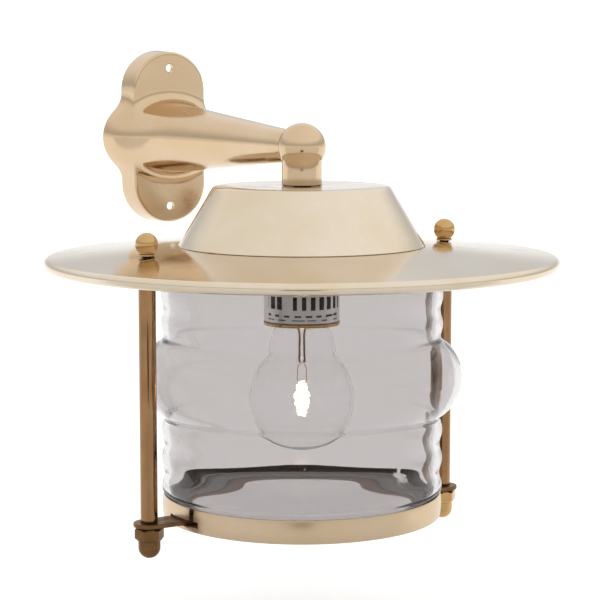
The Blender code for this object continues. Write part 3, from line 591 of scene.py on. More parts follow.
def casting_gap(x, depth, z):
    """About how far points are outside the solid casting: a lobed plate and an arm, softly joined."""
    out = np.hypot(x, np.maximum(np.abs(z) - LOBE_Z, 0)) - (LOBE_R - PLATE_DRAFT * depth) + FRONT_ROUND
    front = depth - PLATE_DEPTH + FRONT_ROUND
    corner = np.hypot(np.maximum(out, 0), np.maximum(front, 0))
    plate = np.minimum(np.maximum(out, front), 0) + corner - FRONT_ROUND
    spread = 1 / (1 + (np.maximum(depth, 0) / HUB_LENGTH) ** 3.6)
    cone = arm_radius(-AXIS.y - depth)
    wide = cone + (HUB_R - arm_radius(-AXIS.y)) * spread
    tall = cone + HUB_RISE * spread ** 4
    share = np.hypot(x / wide, z / tall)
    arm = (share - 1) * share / np.maximum(np.hypot(x / wide ** 2, z / tall ** 2), 1e-9)
    near = np.maximum(FILLET - np.abs(plate - arm), 0) / FILLET
    return np.minimum(plate, arm) - near ** 2 * FILLET / 4


def reach(origin, tilt):
    """Where rays from a point on the arm's axis, tilted from straight ahead, leave the casting all round."""
    angle = np.arange(BRACKET_STEPS) * 2 * math.pi / BRACKET_STEPS
    low, high = np.zeros(BRACKET_STEPS), np.full(BRACKET_STEPS, 80 * MM)
    for _ in range(40):
        middle_at = (low + high) / 2
        radius = middle_at * math.sin(tilt)
        outside = casting_gap(radius * np.sin(angle), origin + middle_at * math.cos(tilt),
                              radius * np.cos(angle)) > 0
        high = np.where(outside, middle_at, high)
        low = np.where(outside, low, middle_at)
    return low * math.sin(tilt), -(origin + low * math.cos(tilt))


def arm_mouth(angle):
    """Distance from the lantern's axis at which the arm meets the ball, or the collar below it."""
    distance = BALL_R
    for _ in range(6):
        radius = arm_radius(distance)
        ball = math.sqrt((BALL_R + GAP) ** 2 - radius ** 2)
        collar = math.sqrt((STEM_R + GAP) ** 2 - (radius * math.sin(angle)) ** 2)
        under = -radius * math.cos(angle)
        share = min(max((under - 5 * MM) / (3 * MM), 0), 1)
        distance = ball + max(collar - ball, 0) * share
    return distance


def bracket_rows():
    """The casting's skin: rings of radius and distance from the wall for each angle about the arm.

    They run from the hollow behind the plate over its rim and face, along the arm and back through the bore.
    """
    flat = np.ones(BRACKET_STEPS)
    edge, _ = reach(0, math.radians(90))

    def circle(radius, y):
        return radius * flat, y * flat

    back = -PLATE_DEPTH + PLATE_WALL
    rows = [circle(17 * MM, back + 0.6 * MM)]
    for share in (1, 0.75, 0.5, 0.25, 0):
        rows.append(((edge - PLATE_WALL - 3.5 * MM) * (1 - share) + 18 * MM * share, back * flat))
    for inset, y in ((2.3, back + 0.5 * MM), (1.7, back + 1.8 * MM), (1.0, back * 0.5),
                     (0, -0.3 * MM), (-0.3, 0)):
        rows.append((edge - PLATE_WALL - inset * MM, y * flat))
    rows += [(edge - 0.35 * MM, 0 * flat), (edge - 0.1 * MM, -0.1 * MM * flat)]
    origin = 10 * MM
    for i in range(9):
        rows.append(reach(0.4 * MM + (origin - 0.4 * MM) * i / 8, math.radians(90)))
    ahead = PLATE_DEPTH - origin
    for i in range(1, 8):
        rows.append(reach(origin, math.radians(90 - i)))
    first = ahead * math.tan(math.radians(82))
    for i in range(44):
        target = first + (20 * MM - first) * i / 43
        rows.append(reach(origin, math.atan2(target, ahead)))
    for i in range(1, 25):
        rows.append(reach(origin, math.radians(67 - 1.8 * i)))
    start = -rows[-1][1].min() + 1 * MM
    end = -AXIS.y - BALL_R - 3 * MM
    for i in range(17):
        rows.append(reach(start + (end - start) * i / 16, math.radians(90)))
    angles = [2 * math.pi * k / BRACKET_STEPS for k in range(BRACKET_STEPS)]
    mouth = np.array([arm_mouth(angle) for angle in angles])
    for inset, back_off in ((0, 0.35 * MM), (0.1 * MM, 0.1 * MM), (0.35 * MM, 0.05 * MM)):
        rows.append((np.array([arm_radius(d) for d in mouth]) - inset, AXIS.y + mouth + back_off))
    cup = math.sqrt((BALL_R + GAP) ** 2 - NIPPLE_HOLE_R ** 2)
    end_wall = 31 * MM
    rows += [circle(NIPPLE_HOLE_R, AXIS.y + cup), circle(NIPPLE_HOLE_R, AXIS.y + end_wall)]
    rows += [circle(arm_radius(end_wall) - 3.4 * MM, AXIS.y + end_wall)]
    return rows


def polar_loft(name, rows):
    """A closed skin through rows about the arm's axis, the last joined to the first."""
    steps = BRACKET_STEPS
    vertices, faces = [], []
    for radius, depth in rows:
        for k in range(steps):
            angle = 2 * math.pi * k / steps
            vertices.append((radius[k] * math.sin(angle), depth[k], radius[k] * math.cos(angle)))
    for i in range(len(rows)):
        here, there = i * steps, (i + 1) % len(rows) * steps
        for k in range(steps):
            j = (k + 1) % steps
            faces.append((here + k, here + j, there + j, there + k))
    return mesh_piece(name, vertices, faces, None, 35)


def wall_bracket(finishes):
    casting = polar_loft("bracket_casting", bracket_rows())
    for end in (-1, 1):
        flare = 0.3 * MM
        hole = [(0, -MM), (SCREW_HOLE_R, -MM), (SCREW_HOLE_R, PLATE_DEPTH - flare),
                (SCREW_HOLE_R + 2 * flare, PLATE_DEPTH + flare), (0, PLATE_DEPTH + flare)]
        cut(casting, lathe("hole", hole, None, 64, centre=(0, 0, end * SCREW_Z), along=(0, -1, 0)))
    finish_piece(casting, finishes["cast_brass"], "head", "cast_brass", "wall_bracket")


def finish_piece(piece, material, body, slot, *nodes, sharp=35):
    piece.data.materials.clear()
    piece.data.materials.append(material)
    piece.data.shade_smooth()
    piece.data.set_sharp_from_angle(angle=math.radians(sharp))
    return place(piece, body, slot, *nodes)


def ball_elbow(finishes):
    meet = math.degrees(math.asin(-math.sqrt(BALL_R ** 2 - STEM_R ** 2) / BALL_R))
    collar_end = base("ball_elbow")
    profile = [(0, BALL_R)] + arc((0, 0), BALL_R, 89, meet, 46)
    profile += [(STEM_R, -15 * MM), (STEM_R, collar_end, 0.7 * MM), (NIPPLE_HOLE_R, collar_end, 0.3 * MM)]
    hollow = 9.5 * MM
    low = math.degrees(math.asin(math.sqrt(hollow ** 2 - NIPPLE_HOLE_R ** 2) / hollow))
    profile += arc((0, 0), hollow, -low, 89, 16) + [(0, hollow)]
    ball = lathe("elbow_ball", profile, None, 160)
    cut(ball, drill("port", NIPPLE_HOLE_R, 4 * MM, 20 * MM, 64, along=(0, 1, 0)))
    finish_piece(ball, finishes["cast_brass"], "head", "cast_brass", "ball_elbow")


THREAD_PITCH = 1 * MM
THREAD_DEPTH = 0.45 * MM


def nipples(finishes):
    """Screwed tubes inside the arm, the ball and the cap."""
    bore = 3.6 * MM
    arm_length = size("arm_nipple").y
    start = -AXIS.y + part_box("arm_nipple")[0].y
    arm = column(NIPPLE_R, start + arm_length, start, 0.2 * MM) + [(bore, start), (bore, start + arm_length)]
    thread = helix(start, start + arm_length, THREAD_PITCH, THREAD_DEPTH)
    piece = lathe("arm_tube", arm, finishes["warm_brass"], 64, closed=True, along=(0, 1, 0),
                  shape=inside_only(thread, bore), sharp=60)
    place(piece, "head", "warm_brass", "arm_nipple")
    high, low = top("stem_nipple"), base("stem_nipple")
    stem = column(NIPPLE_R, high, low, 0.2 * MM) + [(bore, low), (bore, high)]
    piece = lathe("stem_tube", stem, finishes["warm_brass"], 64, closed=True,
                  shape=inside_only(helix(low, high, THREAD_PITCH, THREAD_DEPTH), bore), sharp=60)
    place(piece, "head", "warm_brass", "stem_nipple")


def inside_only(thread, bore):
    """A thread on the outer side only, which leaves the bore plain."""
    return lambda radius, height, angle: thread(radius, height, angle) if radius > bore + 0.2 * MM else radius


# Hat: cap and brim

SHEET = 1.5 * MM
CAP_TOP_R = 51.7 * MM
CAP_BASE_R = size("cap").x / 2
CAP_CORNER = 1.6 * MM
BRIM_R = size("brim").x / 2
BEAD_R = 3.2 * MM
BRIM_TOP_Z = base("cap") - GAP     # where the cap stands on it
BRIM_DROP = 6 * MM
HOLE_R = 3.25 * MM


def cone_rise(radius):
    """Height of the brim's upper face at a radius from the lantern's axis."""
    share = (radius - CAP_BASE_R) / (BRIM_R - BEAD_R - CAP_BASE_R)
    return BRIM_TOP_Z - BRIM_DROP * share


def cap(finishes):
    high, low = top("cap"), base("cap") - GAP
    slope = math.atan2(high - low, CAP_BASE_R - CAP_TOP_R)
    across = SHEET / math.sin(slope)
    flat = CAP_TOP_R - CAP_CORNER * math.tan(slope / 2) * 0.4
    outer = [(NIPPLE_HOLE_R, high, 0.2 * MM), (20 * MM, high), (38 * MM, high), (flat, high, CAP_CORNER * 2)]
    outer += [(flat + (CAP_BASE_R - flat) * i / 6, high + (low - high) * i / 6) for i in range(1, 6)]
    outer += [(CAP_BASE_R, low, 0.35 * MM)]
    inner = [(CAP_BASE_R - across, low, 0.3 * MM), (flat - 0.9 * MM, high - SHEET, CAP_CORNER * 1.2),
             (NIPPLE_HOLE_R, high - SHEET, 0.2 * MM)]
    piece = lathe("cap_cone", outer + inner, finishes["polished_brass"], 256, closed=True)
    place(piece, "head", "polished_brass", "cap")


def brim(finishes):
    bore_r = 64 * MM
    edge = BRIM_R - BEAD_R
    bead_z = cone_rise(edge) - BEAD_R
    spread = [bore_r, 70 * MM, CAP_BASE_R, 78 * MM, 90 * MM, 104 * MM, 118 * MM, 132 * MM, 142 * MM]
    face = [(r, cone_rise(max(r, CAP_BASE_R))) for r in spread]
    face[0] = (*face[0], 0.4 * MM)
    bead = arc((edge, bead_z), BEAD_R, 88, -180, 48)
    tuck = edge - BEAD_R - SHEET
    under = [(tuck, cone_rise(tuck) - SHEET, 1.5 * MM), (120 * MM, cone_rise(120 * MM) - SHEET),
             (95 * MM, cone_rise(95 * MM) - SHEET), (CAP_BASE_R, BRIM_TOP_Z - SHEET),
             (bore_r, BRIM_TOP_Z - SHEET, 0.4 * MM)]
    piece = lathe("brim_disc", face + bead + under, None, 320, closed=True, sharp=50)
    for sign in SIDES.values():
        cut(piece, drill("hole", HOLE_R, cone_rise(ROD_X) - 8 * MM, cone_rise(ROD_X) + 8 * MM, 48,
                         centre=AXIS + Vector((sign * ROD_X, 0, 0))))
    finish_piece(piece, finishes["polished_brass"], "head", "polished_brass", "brim", sharp=50)


def hexagon(apothem, turn, soften_by=0.3 * MM):
    """A shape for lathe that holds radii within a hexagon whose corners are slightly broken."""
    corner = apothem / math.cos(math.pi / 6) - soften_by

    def shape(radius, height, angle):
        away = (angle - turn) % (math.pi / 3) - math.pi / 6
        return min(radius, apothem / math.cos(away), corner)
    return shape


def cap_fixings(finishes):
    """Hexagon nut and earth tag that clamp the cap to the ball's collar from inside."""
    high, low = top("cap_nut"), base("cap_nut")
    outer_r = size("cap_nut").x / 2
    flats = hexagon(outer_r * math.cos(math.pi / 6), math.radians(30))
    chamfer = 0.8 * MM
    profile = [(outer_r - 1.4 * MM, high), (outer_r, high - chamfer * 0.6), (outer_r, low + chamfer * 0.6),
               (outer_r - 1.4 * MM, low), (NIPPLE_HOLE_R + 0.4 * MM, low), (NIPPLE_HOLE_R, low + 0.4 * MM),
               (NIPPLE_HOLE_R, high - 0.4 * MM), (NIPPLE_HOLE_R + 0.4 * MM, high)]
    piece = lathe("cap_hex_nut", profile, finishes["warm_brass"], 144, closed=True,
                  shape=lambda r, z, a: flats(r, z, a) if r > NIPPLE_HOLE_R + MM else r, sharp=20)
    place(piece, "head", "warm_brass", "cap_nut")
    high, low = top("earth_tag"), base("earth_tag")
    tag_r = size("earth_tag").x / 2
    ring = lathe("tag_ring", [(NIPPLE_HOLE_R, high), (tag_r, high, 0.2 * MM), (tag_r, low, 0.2 * MM),
                              (NIPPLE_HOLE_R, low)], None, 96, closed=True)
    blade_end = AXIS.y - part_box("earth_tag")[0].y
    blade = slab("blade", (6.3 * MM, blade_end - 7 * MM, 0.8 * MM),
                 (0, AXIS.y - (blade_end + 7 * MM) / 2, (high + low) / 2))
    cut(ring, blade, "UNION")
    cut(ring, drill("hole", 0.9 * MM, low - MM, high + MM, 32,
                    centre=AXIS + Vector((0, -blade_end + 3 * MM, 0))))
    soften(ring, 0.12 * MM)
    finish_piece(ring, finishes["warm_brass"], "head", "warm_brass", "earth_tag")
    ring.name = "earth_tag_plate"


def slab(name, extent, centre, turn=0.0, pivot=None):
    """A block of given extent, turned about an upright axis through pivot."""
    bm = bmesh.new()
    bmesh.ops.create_cube(bm, size=1)
    bmesh.ops.scale(bm, vec=extent, verts=bm.verts)
    bmesh.ops.translate(bm, vec=centre, verts=bm.verts)
    if turn:
        bmesh.ops.rotate(bm, cent=pivot, matrix=Matrix.Rotation(turn, 3, "Z"), verts=bm.verts)
    mesh = bpy.data.meshes.new(name)
    bm.to_mesh(mesh)
    bm.free()
    piece = bpy.data.objects.new(name, mesh)
    bpy.context.scene.collection.objects.link(piece)
    return piece


# Lampholder

HOLDER_WALL = 1 * MM
LIP_R = size("lampholder_lip").x / 2
SOCKET_R = 14.4 * MM
EDISON_PITCH = 3.629 * MM


def lampholder(finishes):
    high, low = top("lampholder_shell"), base("lampholder_shell")
    wide = size("lampholder_shell").x / 2
    neck = 9 * MM
    outer = [(NIPPLE_HOLE_R, high, 0.3 * MM), (neck, high, 0.6 * MM), (neck, high - 5 * MM, 1.2 * MM),
             (neck + 0.4 * MM, high - 5.2 * MM), (wide, high - 5.4 * MM, 5.5 * MM),
             (wide, low + 2 * MM), (wide, low)]
    ceiling = high - 6.4 * MM
    inner = [(wide - HOLDER_WALL, low), (wide - HOLDER_WALL, ceiling, 4.6 * MM), (NIPPLE_HOLE_R, ceiling)]
    flutes = ribbing(wide - 0.5 * MM, high - 14 * MM, low + 4 * MM, 48, 0.3 * MM)
    shell = lathe("holder_shell", outer + inner, finishes["warm_brass"], 192, closed=True, shape=flutes)
    place(shell, "head", "warm_brass", "lampholder_shell")

    high, low = top("lampholder_skirt"), base("lampholder_skirt")
    bead = 0.25 * MM
    outer = [(SKIRT_R - 0.5 * MM, high, 0.3 * MM), (SKIRT_R, high - 0.8 * MM, 0.3 * MM)]
    outer += [(SKIRT_R, high - 4 * MM), (SKIRT_R - bead, high - 4.6 * MM, 0.3 * MM),
              (SKIRT_R, high - 5.2 * MM)]
    outer += [(SKIRT_R, low + 1 * MM), (SKIRT_R - 0.2 * MM, low)]
    inner = [(SKIRT_R - HOLDER_WALL, low), (SKIRT_R - HOLDER_WALL, high)]
    skirt = lathe("holder_sleeve", outer + inner, finishes["bright_steel"], 192, closed=True)
    place(skirt, "head", "bright_steel", "lampholder_skirt")

    high, low = top("lampholder_lip"), base("lampholder_lip")
    bore_r = 18.4 * MM
    lip = [(LIP_R - 0.4 * MM, high, 0.2 * MM), (LIP_R, high - 0.5 * MM, 0.3 * MM),
           (LIP_R, low + 0.7 * MM, 0.4 * MM), (LIP_R - 0.8 * MM, low, 0.3 * MM),
           (bore_r, low, 0.4 * MM), (bore_r, high, 0.2 * MM)]
    place(lathe("holder_lip", lip, finishes["warm_brass"], 192, closed=True),
          "head", "warm_brass", "lampholder_lip")

    high, low = top("lampholder_core"), base("lampholder_core")
    core_r = size("lampholder_core").x / 2
    socket_top = top("lampholder_thread") + GAP
    core = [(0, high), (core_r, high, 0.8 * MM), (core_r, low, 0.8 * MM),
            (SOCKET_R + 1.6 * MM, low, 0.5 * MM), (SOCKET_R, low + 1.2 * MM, 0.5 * MM),
            (SOCKET_R, socket_top, 0.4 * MM), (0, socket_top)]
    place(lathe("holder_core", core, finishes["porcelain"], 128), "head", "porcelain", "lampholder_core")

    high, low = top("lampholder_thread"), base("lampholder_thread")
    thread_r = size("lampholder_thread").x / 2
    sheet = 0.35 * MM
    sleeve = column(thread_r, high, low, 0.4 * MM) + column(thread_r - sheet, low, high, 0.4 * MM)
    thread = lathe("holder_thread", sleeve, finishes["warm_brass"], 128, closed=True,
                   shape=helix(low, high, EDISON_PITCH, 0.85 * MM, 2 * MM), sharp=60)
    place(thread, "head", "warm_brass", "lampholder_thread")

    high, low = top("lampholder_contact"), base("lampholder_contact")
    contact_r = size("lampholder_contact").x / 2
    contact = [(0, high), (contact_r, high, 0.1 * MM), (contact_r, (high + low) / 2, 0.1 * MM),
               (contact_r * 0.55, low + 0.15 * MM, 0.2 * MM), (0, low)]
    place(lathe("holder_contact", contact, finishes["warm_brass"], 64),
          "head", "warm_brass", "lampholder_contact")
    terminals(finishes)


def ribbing(above, high, low, count, depth):
    """Upright grip ribs on the outer side between two heights."""
    def shape(radius, height, angle):
        if radius < above or not low < height < high:
            return radius
        return radius - depth * (0.5 + 0.5 * math.cos(count * angle))
    return shape


def terminals(finishes):
    """Porcelain block with a screw well for each of its two terminals, and a slotted screw in each."""
    low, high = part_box("terminal_block")
    extent = high - low
    block = slab("terminal_body", extent, (low + high) / 2)
    for sign in SIDES.values():
        at = AXIS + Vector((sign * extent.x / 4, 0, 0))
        well = [(0, high.z - 3 * MM), (1.7 * MM, high.z - 3 * MM), (1.7 * MM, high.z + MM), (0, high.z + MM)]
        cut(block, lathe("well", well, None, 32, centre=at))
    soften(block, 0.5 * MM, 3)
    finish_piece(block, finishes["porcelain"], "head", "porcelain", "terminal_block")
    for side, sign in SIDES.items():
        at = AXIS + Vector((sign * extent.x / 4, 0, 0))
        floor = high.z - 3 * MM + 0.05 * MM
        screw = [(0, floor + 1.3 * MM), (1.5 * MM, floor + 1.3 * MM, 0.3 * MM), (1.5 * MM, floor), (0, floor)]
        piece = lathe(f"terminal_screw_{side}", screw, None, 32, centre=at)
        cut(piece, slab("slot", (3.2 * MM, 0.5 * MM, 1.2 * MM), (at.x, at.y, floor + 1.3 * MM)))
        finish_piece(piece, finishes["lamp_metal"], "head", "lamp_metal")


# Lamp

BULB_R = size("bulb_envelope").x / 2
BULB_CAP_R = size("bulb_cap").x / 2
GLOBE_Z = base("bulb_envelope") + BULB_R
NECK_R = 12 * MM
BULB_SKIN = 0.6 * MM


def bulb(finishes):
    high, low = top("bulb_contact"), base("bulb_contact")
    tip_r = size("bulb_contact").x / 2
    tip = [(0, high), (tip_r * 0.5, high - 0.1 * MM, 0.5 * MM), (tip_r, low + 0.3 * MM, 0.3 * MM),
           (tip_r, low), (0, low)]
    place(lathe("lamp_tip", tip, finishes["lamp_metal"], 64), "bulb_drop", "lamp_metal", "bulb_contact")

    high, low = top("bulb_insulator"), base("bulb_insulator")
    cone = [(0, high), (5.4 * MM, high, 0.4 * MM), (12 * MM, low, 0.3 * MM), (0, low)]
    place(lathe("lamp_insulator", cone, finishes["dark_glass"], 96), "bulb", "porcelain", "bulb_insulator")

    high, low = top("bulb_cap"), base("bulb_cap")
    sheet = 0.3 * MM
    sleeve = column(BULB_CAP_R, high, low, 0.35 * MM) + column(BULB_CAP_R - sheet, low, high, 0.35 * MM)
    threaded = helix(low + 3 * MM, high - 0.5 * MM, EDISON_PITCH, 0.8 * MM, 2 * MM)
    piece = lathe("lamp_cap", sleeve, finishes["lamp_metal"], 128, closed=True, shape=threaded, sharp=60)
    place(piece, "bulb", "warm_brass", "bulb_cap")
    envelope(finishes)
    stem_and_wires(finishes)


def envelope(finishes):
    neck_top, tip = top("bulb_envelope"), base("bulb_envelope")
    cap_end = base("bulb_cap")
    shoulder = [(15.0 * MM, -102.5 * MM), (16.9 * MM, -107 * MM),
                (18.3 * MM, -113 * MM), (20.3 * MM, -119.5 * MM)]
    outer = [(NECK_R - 0.8 * MM, neck_top), (NECK_R - 0.8 * MM, cap_end + 0.6 * MM)]
    outer += smooth([(NECK_R - 0.7 * MM, cap_end - 0.4 * MM)] + shoulder
                    + arc((0, GLOBE_Z), BULB_R, 42, 20, 3), 5)
    outer += arc((0, GLOBE_Z), BULB_R, 18, -89, 44) + [(0, tip)]
    inner = inset_profile(outer, BULB_SKIN)
    profile = list(reversed(inner)) + outer
    piece = lathe("lamp_envelope", profile, finishes["lamp_glass"], 160, sharp=70)
    place(piece, "bulb", "lamp_glass", "bulb_envelope")


def smooth(points, per_span):
    """A Catmull-Rom curve through the points."""
    ends = [points[0]] + points + [points[-1]]
    result = []
    for a, b, c, d in zip(ends, ends[1:], ends[2:], ends[3:]):
        for i in range(per_span):
            t = i / per_span
            result.append(tuple(0.5 * (2 * q + (r - p) * t + (2 * p - 5 * q + 4 * r - s) * t ** 2
                                       + (3 * q - p - 3 * r + s) * t ** 3) for p, q, r, s in zip(a, b, c, d)))
    return result + [points[-1]]


def inset_profile(points, depth):
    """The same profile moved inwards by a wall's thickness, still ending on the axis."""
    moved = []
    for i, point in enumerate(points):
        before, after = points[max(i - 1, 0)], points[min(i + 1, len(points) - 1)]
        direction = Vector((after[0] - before[0], after[1] - before[1])).normalized()
        if point[0] < 1e-9:
            moved.append((0, point[1] + depth))
        else:
            moved.append((max(point[0] + direction.y * depth, 1e-5), point[1] - direction.x * depth))
    return moved


def tube(name, points, radius, material, resolution=8, caps=True):
    """A round bar along points, as a mesh."""
    curve = bpy.data.curves.new(name, "CURVE")
    curve.dimensions = "3D"
    curve.bevel_depth = radius
    curve.bevel_resolution = resolution
    curve.use_fill_caps = caps
    spline = curve.splines.new("POLY")
    spline.points.add(len(points) - 1)
    for target, point in zip(spline.points, points):
        target.co = (*point, 1)
    guide = bpy.data.objects.new(name + "_guide", curve)
    bpy.context.scene.collection.objects.link(guide)
    mesh = bpy.data.meshes.new_from_object(guide.evaluated_get(bpy.context.evaluated_depsgraph_get()))
    bpy.data.objects.remove(guide)
    bm = bmesh.new()
    bm.from_mesh(mesh)
    bmesh.ops.remove_doubles(bm, verts=bm.verts, dist=1e-7)
    bmesh.ops.recalc_face_normals(bm, faces=bm.faces)
    bm.to_mesh(mesh)
    bm.free()
    mesh.shade_smooth()
    mesh.set_sharp_from_angle(angle=math.radians(60))
    mesh.materials.clear()
    mesh.materials.append(material)
    piece = bpy.data.objects.new(name, mesh)
    bpy.context.scene.collection.objects.link(piece)
    return piece


def stem_and_wires(finishes):
    """Glass stem with the lead wires sealed in it, and the hot coil that hangs from them."""
    high, low = top("bulb_stem"), base("bulb_stem")
    flare = smooth([(6 * MM, high), (4.2 * MM, high - 3.5 * MM), (3.2 * MM, high - 8 * MM),
                    (2.6 * MM, high - 16 * MM), (2.4 * MM, high - 24 * MM), (3.2 * MM, high - 26.5 * MM),
                    (2.6 * MM, high - 28.4 * MM), (1.0 * MM, low + 0.1 * MM)], 5)
    stem = lathe("lamp_stem", [(0, high)] + flare + [(0, low)], finishes["lamp_glass"], 64, sharp=60)
    place(stem, "bulb", "lamp_glass", "bulb_stem")
    across = Vector((math.cos(VIEW_AZIMUTH), math.sin(VIEW_AZIMUTH), 0))
    hot_top, hot_end = -138.5 * MM, -158 * MM
    for side, sign in SIDES.items():
        sealed = smooth([(sign * 2.0 * MM, high - 5 * MM), (sign * 1.1 * MM, high - 12 * MM),
                         (sign * 1.4 * MM, low + 5 * MM), (sign * 1.1 * MM, low + 1.2 * MM)], 4)
        points = [AXIS + across * x + Vector((0, 0, z)) for x, z in sealed]
        place(tube(f"lamp_lead_{side}", points, 0.55 * MM, finishes["warm_brass"], 3), "bulb", "warm_brass")
        route = smooth([(sign * 1.3 * MM, low - 0.7 * MM), (sign * 2.6 * MM, low - 3 * MM),
                        (sign * 2.4 * MM, hot_top - 2 * MM)], 6)
        points = [AXIS + across * x + Vector((0, 0, z)) for x, z in route]
        place(tube(f"lamp_wire_{side}", points, 0.22 * MM, finishes["warm_brass"], 3), "bulb", "lamp_metal")
    turns, per_turn, end_r, swell = 12, 16, 1.5 * MM, 2.7 * MM
    coil = []
    for i in range(turns * per_turn + 1):
        angle = 2 * math.pi * i / per_turn
        along = i / (turns * per_turn)
        height = hot_top + (hot_end - hot_top) * along
        coil_r = end_r + swell * math.sin(math.pi * along) + 0.5 * MM * math.sin(2.3 * angle)
        coil.append(AXIS + Vector((coil_r * math.cos(angle), coil_r * math.sin(angle), height)))
    place(tube("lamp_filament", coil, 0.42 * MM, finishes["hot"], 3), "bulb", "lamp_metal", "bulb_filament")


def inner_lead(finishes):
    """Sheathed lead from the wall, through the arm, round the bend in the ball and down to the terminals."""
    radius, bend = 2 * MM, 9 * MM
    bend_at = base("inner_lead")
    points = [Vector((0, -2 * MM - i * 12 * MM, 0)) for i in range(15)]
    for i in range(17):
        angle = math.radians(90 * i / 16)
        points.append(Vector((0, AXIS.y + bend * (1 - math.sin(angle)), bend * (math.cos(angle) - 1))))
    points.append(Vector((0, AXIS.y, bend_at)))
    points = [p for p in points if p.y > AXIS.y - 1e-9]
    place(tube("supply_lead", points, radius, finishes["lead_sheath"], 10),
          "head", "black_rubber", "inner_lead")


# Cage

JAR_R = 81.85 * MM                 # mean radius of the ribbed wall
JAR_WALL = 4 * MM
BULGE_R = size("glass_jar").x / 2
BULGE_Z = -133.7 * MM
BULGE_ARC = 25.5 * MM
RIB_PITCH = 17 * MM
RIB_FIRST = 31 * MM                # first rib crest above and below the belt's middle
RIB_HEIGHT = 0.85 * MM
JAR_CORNER = 3.5 * MM              # rounding at the foot
JAR_INNER_CORNER = 3 * MM
JAR_SHOULDER = 2 * MM              # slope from the ribbed wall in to the collar
RING_R = size("bottom_ring").x / 2
RING_TOP_Z = top("bottom_ring")
RING_BASE_Z = base("bottom_ring")
LEDGE_R = 66 * MM
LEDGE_TOP_Z = RING_BASE_Z + 2.7 * MM
ROD_R = size("rod_right").x / 2
THREAD_R = 2.9 * MM


def jar_radius(z):
    """Outer radius of the jar's wall: a round belt in the middle and shallow ribs above and below it."""
    away = abs(z - BULGE_Z)
    rib = JAR_R + RIB_HEIGHT * math.cos(2 * math.pi * (away - RIB_FIRST) / RIB_PITCH)
    if away >= BULGE_ARC:
        return rib
    belt = BULGE_R - BULGE_ARC + math.sqrt(BULGE_ARC ** 2 - away ** 2)
    return max(belt, rib) if away < RIB_FIRST - RIB_PITCH / 2 else rib


def even_radius(z, reach_each_side):
    """The jar's outer radius, averaged over a short length so that its changes are soft."""
    steps = [i / 3 for i in range(-3, 4)]
    return sum(jar_radius(z + step * reach_each_side) for step in steps) / len(steps)


def glass_jar(finishes):
    """Pressed and blown glass of even thickness with a flat foot and a flat ground rim."""
    high, low = top("glass_jar"), base("glass_jar")
    collar_r, collar_z = RING_BORE_R - GAP, RING_TOP_Z + GAP
    corner = (collar_r - JAR_CORNER, low + JAR_CORNER)
    floor_z, inside_r = low + JAR_WALL, collar_r - JAR_WALL
    inner_corner = (inside_r - JAR_INNER_CORNER, floor_z + JAR_INNER_CORNER)
    last_rib, count = collar_z + JAR_SHOULDER, 150
    heights = [high + (last_rib - high) * i / count for i in range(count + 1)]
    wall = [(min(even_radius(z, 1.8 * MM), BULGE_R - 0.1 * MM), z) for z in heights]
    outer = [(wall[0][0] - 1.2 * MM, high), (wall[0][0] - 0.35 * MM, high - 0.25 * MM)] + wall[1:]
    outer += [(collar_r, collar_z)] + arc(corner, JAR_CORNER, 0, -90, 12) + [(0, low)]
    inner = [(0, floor_z)] + arc(inner_corner, JAR_INNER_CORNER, -90, 0, 12)
    inside = [(even_radius(z, 2.6 * MM) - JAR_WALL, z) for z in reversed(heights[1:])]
    inner += inside + [(inside[-1][0] + 0.3 * MM, high - 0.2 * MM), (inside[-1][0] + 1.2 * MM, high)]

    def hand_blown(radius, height, angle):
        """Slow unevenness of the inner skin."""
        z = height / MM
        if radius < 60 * MM or radius > jar_radius(height) - JAR_WALL / 2:
            return radius
        return radius + (0.05 * math.sin(3 * angle + 0.04 * z) + 0.03 * math.sin(7 * angle - 0.07 * z)) * MM
    piece = lathe("jar_wall", inner + outer, finishes["clear_glass"], 288, shape=hand_blown, sharp=70)
    place(piece, "cage", "clear_glass", "glass_jar")


TONGUE_HALF = 9 * MM
RIVET_X = 77 * MM
RIVET_HOLE_R = 1.8 * MM
SLOT_ROOM = 1.2 * MM               # above the tongue
SLOT_SIDE_ROOM = 0.8 * MM
NOTCH_WIDTH = 4.3 * MM
NOTCH_ANGLE = math.radians(10.3)   # from the tongue, about the lantern's axis


